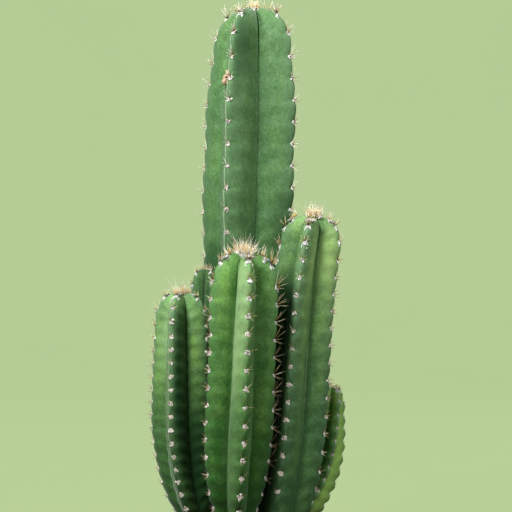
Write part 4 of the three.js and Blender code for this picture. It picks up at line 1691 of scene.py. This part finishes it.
STEMS: tuple[StemPlan, ...] = (
    StemPlan(
        name="main_stem",
        route=(
            (0, 0, 9), (-1, 0, 90), (-3, 0, 200), (-3.4, 0, 300), (-1.4, 0, 360), (1.3, 0, 440), (4, 0, 540),
        ),
        girths=(
            (9, 39), (70, 43), (160, 46), (250, 46), (300, 47), (355, 50.8), (398, 49.4), (435, 50.8),
            (464, 48), (494, 44.2),
        ),
        ribs=(-108, -20, 67, 158), twist=-8, lags=(0.1, 0, -0.12, 0.05), step=21.5,
        top_areoles=(30, 56.5, 78), dome=47, notch=2.5, spine=11,
        tuft=TuftPlan(
            radius=10.5, rise=6.5, length=11, spread=0.22, crown=0.34, wool=0.2, needles=70, hairs=420,
            cluster=4,
        ),
        columns=192, rows=290, round_crest=0.06, lip=0.2, crease=(0.9, 5.5, 44), fade=260,
        spine_width=0.5, rib_spines=(1.0, 0.85, 1.0, 0.9), pad=0.98, pale_spines=True,
        marks=(
            LightAndShade(20, 150, 3.0, 130, 0.4), LightAndShade(29, 10, 7, 34, -0.55), LightAndShade(-14, 75, 7, 75, -0.35),
            LightAndShade(5, 140, 10, 75, 0.25), LightAndShade(-2, 70, 14, 48, -0.6), LightAndShade(-37, 165, 16, 45, -0.2),
            LightAndShade(34, 125, 12, 130, -0.4), LightAndShade(49, 330, 18, 46, -1.0),
        ),
        finish=SkinFinish(
            young=(0.098, 0.215, 0.068), aged_and_shaded=(0.052, 0.138, 0.046), sunny=(0.165, 0.335, 0.080),
            bloom=(0.165, 0.290, 0.150), pale=(0.20, 0.36, 0.17), highlight_colour=(0.44, 0.62, 0.36),
            highlight_share=0.85, sunny_share=0.4,
        ),
        seed=11, line=(3.4, 0.7),
    ),
    StemPlan(
        name="front_stem",
        route=(
            (-13, -63, 9), (-14, -71, 45), (-13.4, -80, 80), (-11, -87, 130), (-9, -91, 170),
            (-7.5, -93, 215), (-4.5, -94, 296),
        ),
        girths=(
            (9, 15), (35, 17.5), (49, 22), (66, 27.2), (82, 29.8), (100, 32.1), (127, 33.7), (212, 32.7),
            (245, 33.7), (257, 33),
        ),
        ribs=(-138, -70, 11, 86, 152), lags=(-0.3, 0.2, 0, 0.4, 0.1), step=16.6,
        top_areoles=(25, 46.5, 61), dome=39, notch=2.6, spine=13.5,
        tuft=TuftPlan(
            radius=10.5, rise=6.5, length=12, spread=0.72, crown=0.64, wool=0.85, needles=150, hairs=520,
        ),
        columns=200, rows=180, round_crest=0.12, lip=0.07, crease=(0.2, 2.6, 60), fade=130,
        spine_width=0.4, old_spine=0.72, rib_spines=(0.7, 0.62, 0.8, 1.12, 0.8), pad=1.05,
        marks=(
            LightAndShade(-7, 55, 18, 42), LightAndShade(-17, 112, 14, 52, 0.85), LightAndShade(-29, 150, 2.6, 80, 0.4),
            LightAndShade(3, 100, 9, 45, 0.35), LightAndShade(-2, 160, 13, 40, 0.14), LightAndShade(-10, 228, 18, 50, 0.34),
            LightAndShade(-37, 200, 8, 80, 0.2), LightAndShade(-52, 155, 12, 34, -0.4), LightAndShade(46, 95, 20, 55, 0.3),
        ),
        finish=SkinFinish(
            young=(0.138, 0.308, 0.078), aged_and_shaded=(0.013, 0.090, 0.008), bloom=(0.155, 0.335, 0.115),
            pale=(0.340, 0.530, 0.235), highlight_share=0.0,
        ),
        seed=23,
    ),
    StemPlan(
        name="right_stem",
        route=(
            (23, -50, 9), (29, -53, 45), (37.5, -54, 95), (43, -53, 152), (47, -52, 205), (51, -51, 250),
            (58, -50, 298), (63, -50, 332),
        ),
        girths=(
            (9, 19), (30, 24), (47, 29.2), (80, 32.7), (108, 33.4), (152, 33.6), (200, 32.6), (249, 31.8),
            (300, 30.3),
        ),
        ribs=(-98, -12, 80, 170), lags=(0.3, 0, -0.3, 0.15), step=17, top_areoles=(29.5, 46, 63),
        dome=33, notch=2.6, spine=10,
        tuft=TuftPlan(
            radius=9.2, rise=6, length=10, spread=0.5, crown=0.66, wool=0.78, needles=190, hairs=520,
        ),
        columns=176, rows=200, round_crest=0.08, lip=0.12, crease=(0.2, 3.8, 60), fade=140,
        spine_width=0.4, rib_spines=(1.0, 0.85, 1.0, 1.0),
        marks=(
            LightAndShade(58, 52, 22, 39, 0.87), LightAndShade(50, 12, 18, 14, -0.6), LightAndShade(33, 150, 2.4, 110, 0.4),
            LightAndShade(12, 55, 13, 38, 0.6), LightAndShade(12, 160, 15, 80, 0.3), LightAndShade(72, 115, 15, 55, 0.35),
            LightAndShade(-75, 74, 22, 24, -0.35), LightAndShade(-70, 106, 30, 27, -1.0), LightAndShade(-70, 172, 32, 52, -0.9),
            LightAndShade(-36, 108, 15, 27, -1.0), LightAndShade(-36, 175, 15, 55, -0.85),
        ),
        finish=SkinFinish(
            young=(0.135, 0.270, 0.080), aged_and_shaded=(0.036, 0.108, 0.036), sunny=(0.24, 0.43, 0.10),
            pale=(0.40, 0.62, 0.20), pale_share=0.85, highlight_share=0.12, sheen=0.15,
        ),
        seed=37,
    ),
    StemPlan(
        name="left_stem",
        route=(
            (-49, -43, 9), (-53, -46, 43), (-57.6, -48, 57), (-62.8, -50, 84), (-66.2, -53, 120),
            (-66.7, -55, 152), (-66.6, -56, 200), (-66.5, -56, 257),
        ),
        girths=(
            (9, 13), (35, 15), (46, 18.6), (57, 22.6), (84, 27.4), (122, 30.4), (151, 30.3), (200, 28.4),
            (226, 27),
        ),
        ribs=(-105, -15, 74, 165), twist=-3, lags=(0.25, 0, 0.3, -0.15), step=12.5,
        top_areoles=(14.5, 31.5, 43.5, 57), dome=31, notch=2, spine=8,
        tuft=TuftPlan(
            radius=8, rise=5, length=8.5, spread=0.5, crown=0.62, wool=0.5, needles=110, hairs=340,
            cluster=4,
        ),
        columns=160, rows=170, round_crest=0.08, crease=(0.6, 3.0, 60), fade=110, spine_width=0.36,
        rib_spines=(1.1, 0.85, 0.8, 0.9),
        marks=(
            LightAndShade(-64, 50, 24, 45, 0.85), LightAndShade(8, 120, 20, 110, -0.5), LightAndShade(-30, 62, 9, 50, -0.25),
            LightAndShade(-3, 66, 9, 50, -0.35), LightAndShade(-3, 130, 9, 60, -0.4), LightAndShade(36, 72, 8, 50, -0.35),
            LightAndShade(62, 70, 12, 50, 0.3), LightAndShade(44, 195, 24, 60, -0.9), LightAndShade(48, 140, 14, 36, -0.3),
            LightAndShade(-42, 190, 18, 45, 0.75),
        ),
        finish=SkinFinish(
            young=(0.205, 0.400, 0.120), aged_and_shaded=(0.016, 0.080, 0.014), sunny=(0.27, 0.50, 0.10),
            sunny_share=0.45, highlight_colour=(0.40, 0.56, 0.32), highlight_share=0.7,
        ),
        seed=53, line=(3.6, 0.7),
    ),
    StemPlan(
        name="rear_left_stem",
        route=((-44, -14, 9), (-43, -14, 90), (-42.5, -14, 180), (-42, -14, 280)),
        girths=((9, 10.5), (40, 12), (80, 16), (140, 17.3), (230, 17.3), (258, 16.8)),
        ribs=(-72, 18, 108, 198), lags=(0.2, 0, 0.3, -0.1), step=14.5, top_areoles=(12, 24, 38),
        dome=22, notch=1.6, spine=7,
        tuft=TuftPlan(
            radius=5.5, rise=4, length=6, spread=0.7, crown=0.6, wool=0.4, needles=26, hairs=200,
            cluster=4,
        ),
        columns=120, rows=130, crease=(0.4, 1.6, 60), fade=120, spine_width=0.34, pad=0.66,
        marks=(LightAndShade(-30, 24, 22, 22, 0.5),),
        finish=SkinFinish(highlight_share=0.2),
        seed=67,
    ),
    StemPlan(
        name="far_right_stem",
        route=(
            (51, 14, 9), (55, 13, 34), (60, 11, 48), (65, 10, 60), (71, 8, 76), (76.3, 6, 100),
            (79.5, 5, 128), (82, 4, 162),
        ),
        girths=((9, 11), (37, 15.8), (50, 18.2), (76, 19.6), (100, 19.4), (122, 18), (136, 16.5)),
        ribs=(-94, -6, 70, 166), twist=48, lags=(0.3, 0, 0.2, -0.2), step=12.6,
        top_areoles=(11, 24, 36), dome=26, notch=4.2, spine=7,
        tuft=TuftPlan(
            radius=5, rise=3.5, length=6, spread=0.7, crown=0.6, wool=0.4, needles=28, hairs=180,
            cluster=5,
        ),
        columns=120, rows=110, crease=(0.4, 1.4, 60), fade=90, spine_width=0.34,
        rib_spines=(1.0, 0.7, 0.8, 1.0), pad=0.66,
        marks=(
            LightAndShade(15, 85, 20, 85, 0.75), LightAndShade(44, 85, 24, 85, 0.75), LightAndShade(-40, 80, 22, 80, -0.5),
        ),
        finish=SkinFinish(
            young=(0.130, 0.290, 0.050), aged_and_shaded=(0.050, 0.175, 0.030), sunny=(0.300, 0.460, 0.080),
            pale=(0.50, 0.78, 0.19), highlight_share=0.9, sheen=0.1,
        ),
        seed=79, line=(0.0, 0.9),
    ),
)


# ---- the woody crown ----


@dataclass
class RootCrown:
    """The low woody mound that all stems grow from, cut flat below."""

    sides: int = 26
    body_radius: float = 47.0
    collar: float = 9.0
    body_scale: float = 50.0  # the millimetres that a share of 1 stands for, where rows are spread out
    profile: Stations = ((0, 0.94), (7, 1.0), (16, 0.95), (23, 0.8), (27, 0.5), (28, 0.02))
    columns: int = 260
    rows: int = 46
    cut_shares: tuple[float, ...] = (0.94, 0.85, 0.6, 0.3, 0.0)  # the rings of the flat cut
    waves: int = 12  # of the rough bark
    ridge: float = 1.1
    lip: float = 3.2
    lip_width: float = 4.0
    foot_height: float = 12.0  # where the stems' girth is read for the lips
    seed: int = 97

    def outline(self, stems: list[Stem], bearing: Array) -> Array:
        """How far the crown reaches.

        Args:
            stems: The stems that stand on it.
            bearing: Directions, in radians from the front.

        Returns:
            The distances from the axis.
        """
        angles = np.arange(self.sides) * math.tau / self.sides
        ways = np.stack([np.sin(angles), -np.cos(angles)], axis=1)
        widest = np.full(self.sides, self.body_radius)
        for stem in stems:
            lobe = float(stem.radius_at(np.array([0.0]))[0]) + self.collar
            ahead = ways @ stem.foot
            aside = stem.foot[0] * ways[:, 1] - stem.foot[1] * ways[:, 0]
            hit = (np.abs(aside) < lobe) & (ahead > 0)
            far = ahead + np.sqrt(np.maximum(lobe**2 - aside**2, 0))
            widest = np.where(hit, np.maximum(widest, far), widest)
        eased = widest / 2 + (np.roll(widest, 1) + np.roll(widest, -1)) / 4
        place = np.mod(bearing, math.tau) / math.tau * self.sides
        left = np.floor(place).astype(int)
        share = smoothstep(place - left, 0, 1) * 0.5 + (place - left) * 0.5
        return lerp(eased[left % self.sides], eased[(left + 1) % self.sides], share)

    def crumbs(self, bearing: Array, height: Array) -> Array:
        """The furrows of the bark, as waves that run round the crown and lean a little.

        Args:
            bearing: Directions, in radians from the front.
            height: Heights above the cut.

        Returns:
            The sum of the waves, mostly between -1 and 1.
        """
        draw = np.random.default_rng(self.seed)
        total = np.zeros_like(bearing)
        for _ in range(self.waves):
            turns = int(draw.integers(9, 46))
            phase, lean = draw.uniform(0, math.tau), draw.uniform(-0.25, 0.25)
            total += np.sin(turns * bearing + lean * height + phase) / 4
        return total

    def build(self, stems: list[Stem], bark: Material) -> Piece:
        """Builds the crown, with ridged bark, a lip round every foot and a flat cut below.

        Args:
            stems: The stems that stand on it.
            bark: Its material.

        Returns:
            The piece.
        """
        rows = self.rows
        cut = [(0.0, -4.0), (0.3, -3.0), (0.6, -2.0), (0.85, -1.0)]
        profile = cut + [(1.0, float(row)) for row in range(rows)] + [(0.0, float(rows))]
        mesh = revolved("root_crown_bark", profile, self.columns)
        raw = points_of(mesh)
        row = np.round(raw[:, 2]).astype(int)
        bearing = np.arctan2(raw[:, 0], -raw[:, 1])
        edge = self.outline(stems, bearing)
        curve = np.array(self.profile, float)
        spans = np.linalg.norm(np.diff(curve * [1, self.body_scale], axis=0), axis=1)
        walked = np.concatenate([[0], np.cumsum(spans)]) / spans.sum()
        walk = np.clip(row, 0, rows - 1) / (rows - 1)
        height = np.interp(walk, walked, curve[:, 0])
        share = np.interp(walk, walked, curve[:, 1])
        crumbs = self.crumbs(bearing, height)
        under = row < 0
        last = len(self.cut_shares) - 1
        share = np.where(under, np.array(self.cut_shares)[np.clip(-row, 0, last)], share)
        height = np.where(under, 0.0, height)
        rough = self.ridge * crumbs * smoothstep(height, 0.5, 6) * smoothstep(share, 0.05, 0.4)
        reach = edge * share + rough
        x = reach * np.sin(bearing)
        y = -reach * np.cos(bearing)
        for stem in stems:
            radius = float(stem.radius_at(np.array([self.foot_height]))[0])
            away = np.hypot(x - stem.foot[0], y - stem.foot[1]) - radius
            height += self.lip * bell(away, self.lip_width) * smoothstep(height, 8, 20)
        height += 0.5 * rough * smoothstep(height, 14, 24)
        top = row >= rows
        x, y = np.where(top, 0, x), np.where(top, 0, y)
        mesh.vertices.foreach_set("co", (np.stack([x, y, height], axis=1) * MM).ravel())
        crown = link("root_crown_bark", mesh, bark)
        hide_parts("root_crown")
        return crown


@dataclass(frozen=True)
class Lobe:
    """One lobe of the scar: its place beside the areole, its half sizes and its tilt in degrees."""

    place: tuple[float, float, float]
    size: tuple[float, float, float]
    tilt: float


@dataclass
class Scar:
    """The healed wound beside an areole of the tall stem, which stands out to the left of the rib."""

    stem: str = "main_stem"
    areole: int = 3
    lobes: tuple[Lobe, ...] = (
        Lobe((-3.2, 1.4, 4.9), (1.6, 2.2, 3.4), -22),
        Lobe((-6.4, 2.2, -2.8), (2.2, 2.4, 3.6), 20),
        Lobe((-4.6, 2.4, 1.0), (2.9, 2.6, 2.9), 0),
        Lobe((-1.6, 1.6, 0.4), (2.2, 2.0, 2.4), 0),
        Lobe((-3.6, 2.6, -3.6), (2.4, 2.4, 2.6), 30),
    )
    hollow: tuple[float, float] = (-4.3, 0.9)
    hollow_reach: float = 1.9
    hollow_depth: float = 1.2
    ragged: float = 0.13
    seed: int = 5

    def build(self, stems: list[Stem], cork: Material) -> Piece:
        """Builds the cork lobes, with a dark hollow between them.

        Args:
            stems: All stems.
            cork: The material.

        Returns:
            The piece.
        """
        stem = next(stem for stem in stems if stem.plan.name == self.stem)
        spots = stem.areoles(stem.steps[self.areole : self.areole + 1])
        heart = spots.heart[np.argmin(spots.heart[:, 1])]
        ball = Shape.ball(3)
        assembly = Assembly()
        draw = np.random.default_rng(self.seed)
        for lobe in self.lobes:
            turn = math.radians(lobe.tilt)
            cosine, sine = math.cos(turn), math.sin(turn)
            lean = np.array([[cosine, 0, -sine], [0, 1, 0], [sine, 0, cosine]])
            rough = 1 + self.ragged * draw.normal(0, 1, (len(ball.points), 1))
            place = (ball.points * rough * np.array(lobe.size)) @ lean + np.array(lobe.place)
            away = np.hypot(place[:, 0] - self.hollow[0], place[:, 2] - self.hollow[1])
            sunk = bell(away, self.hollow_reach)
            place[:, 1] += self.hollow_depth * sunk
            assembly.add(ball, (heart + place)[None], {Attribute.ALONG: sunk[None]})
        return assembly.piece(self.stem + "_scar", cork)


# ---- the studio ----


@dataclass(frozen=True)
class Lamp:
    """A soft light, placed by its bearing from the front, its height above the horizon and its distance."""

    name: str
    bearing: float
    elevation: float
    distance: float
    size: float
    power: float
    colour: Colour = (1.0, 1.0, 1.0)


@dataclass
class Studio:
    """A pale sweep of floor and wall, soft lights and the camera of the photograph. Metres."""

    radius: float = 3.8
    bend: float = 1.0
    bend_steps: int = 14
    height: float = 4.0
    columns: int = 96
    aim: tuple[float, float, float] = (0.0, 0.0, 0.27)
    lamps: tuple[Lamp, ...] = (
        Lamp("key", -42, 42, 1.35, 0.6, 27.0),
        Lamp("fill", 48, 26, 1.8, 0.8, 15.0),
        Lamp("back", 168, 42, 1.7, 1.0, 20.0),
    )
    eye: tuple[float, float, float] = (0.006, -1.8, 0.292)
    lens: float = 126.5625
    sensor: float = 36.0
    sky: Colour = (1.0, 1.0, 0.97)
    sky_strength: float = 0.45

    def build_sweep(self) -> Piece:
        """The floor, which bends up into a round wall.

        Returns:
            The piece.
        """
        turns = [math.pi / 2 * k / self.bend_steps for k in range(self.bend_steps + 1)]
        middle = self.radius - self.bend
        arc = [(middle + self.bend * math.sin(turn), self.bend * (1 - math.cos(turn))) for turn in turns]
        profile = [(0.0, 0.0), (0.5, 0.0), (1.0, 0.0), *arc, (self.radius, self.height)]
        mesh = revolved("floor_sweep", profile, self.columns)
        mesh.flip_normals()
        sweep = link("floor_sweep", mesh, SweepFinish().material("floor_sweep"))
        return sweep

    def build_lamps(self) -> None:
        """The lights, none of which the camera sees."""
        for lamp in self.lamps:
            data = bpy.data.lights.new(lamp.name, "AREA")
            data.shape = "DISK"
            data.size = lamp.size
            data.energy = lamp.power
            data.color = lamp.colour
            light = bpy.data.objects.new(lamp.name, data)
            bearing, rise = math.radians(lamp.bearing), math.radians(lamp.elevation)
            level = math.cos(rise)
            way = Vector((math.sin(bearing) * level, -math.cos(bearing) * level, math.sin(rise)))
            light.location = Vector(self.aim) + way * lamp.distance
            light.rotation_euler = way.to_track_quat("Z", "Y").to_euler()
            light.visible_camera = False
            bpy.context.scene.collection.objects.link(light)

    def build_sky(self) -> None:
        """The even light that comes from all round."""
        world = bpy.data.worlds.new("studio")
        world.use_nodes = True
        shade = world.node_tree.nodes["Background"]
        shade.inputs["Color"].default_value = (*self.sky, 1.0)
        shade.inputs["Strength"].default_value = self.sky_strength
        bpy.context.scene.world = world

    def build_camera(self) -> None:
        """The level camera that took the photograph."""
        data = bpy.data.cameras.new("camera")
        data.lens = self.lens
        data.sensor_width = self.sensor
        camera = bpy.data.objects.new("camera", data)
        camera.location = self.eye
        camera.rotation_euler = (math.pi / 2, 0.0, 0.0)
        bpy.context.scene.collection.objects.link(camera)
        bpy.context.scene.camera = camera

    def build(self) -> None:
        """Sets up everything round the plant."""
        bpy.context.scene.view_settings.view_transform = "Standard"
        self.build_sweep()
        self.build_lamps()
        self.build_sky()
        self.build_camera()


# ---- the clump ----


def seat(piece: Piece) -> None:
    """Lets a piece ride on the plant.

    Args:
        piece: The piece.
    """
    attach(piece, BODY)
    piece.data.calc_loop_triangles()
    LOG.info("%s: %d triangles, on %s", piece.name, len(piece.data.loop_triangles), BODY)


def main() -> None:
    """Builds the studio and every piece of the plant."""
    logging.basicConfig(level=logging.INFO, format="%(message)s")
    Studio().build()
    felt = FeltFinish().material("felt")
    thorn = SpineFinish().material("spines")
    pale = STRAW.material("spines_pale")
    golden = GOLDEN.material("spines_golden")
    stems = [Stem(plan) for plan in STEMS]
    for stem in stems:
        others = [other for other in stems if other is not stem]
        seat(stem.build_skin(others))
        seat(stem.build_felt(felt))
        seat(stem.build_spines(others, pale if stem.plan.pale_spines else thorn))
        wool, needles = stem.build_tuft(felt, golden)
        seat(wool)
        seat(needles)
    seat(Scar().build(stems, ScarFinish().material("scar")))
    seat(RootCrown().build(stems, BarkFinish().material("bark")))


if __name__ == "__main__":
    main()
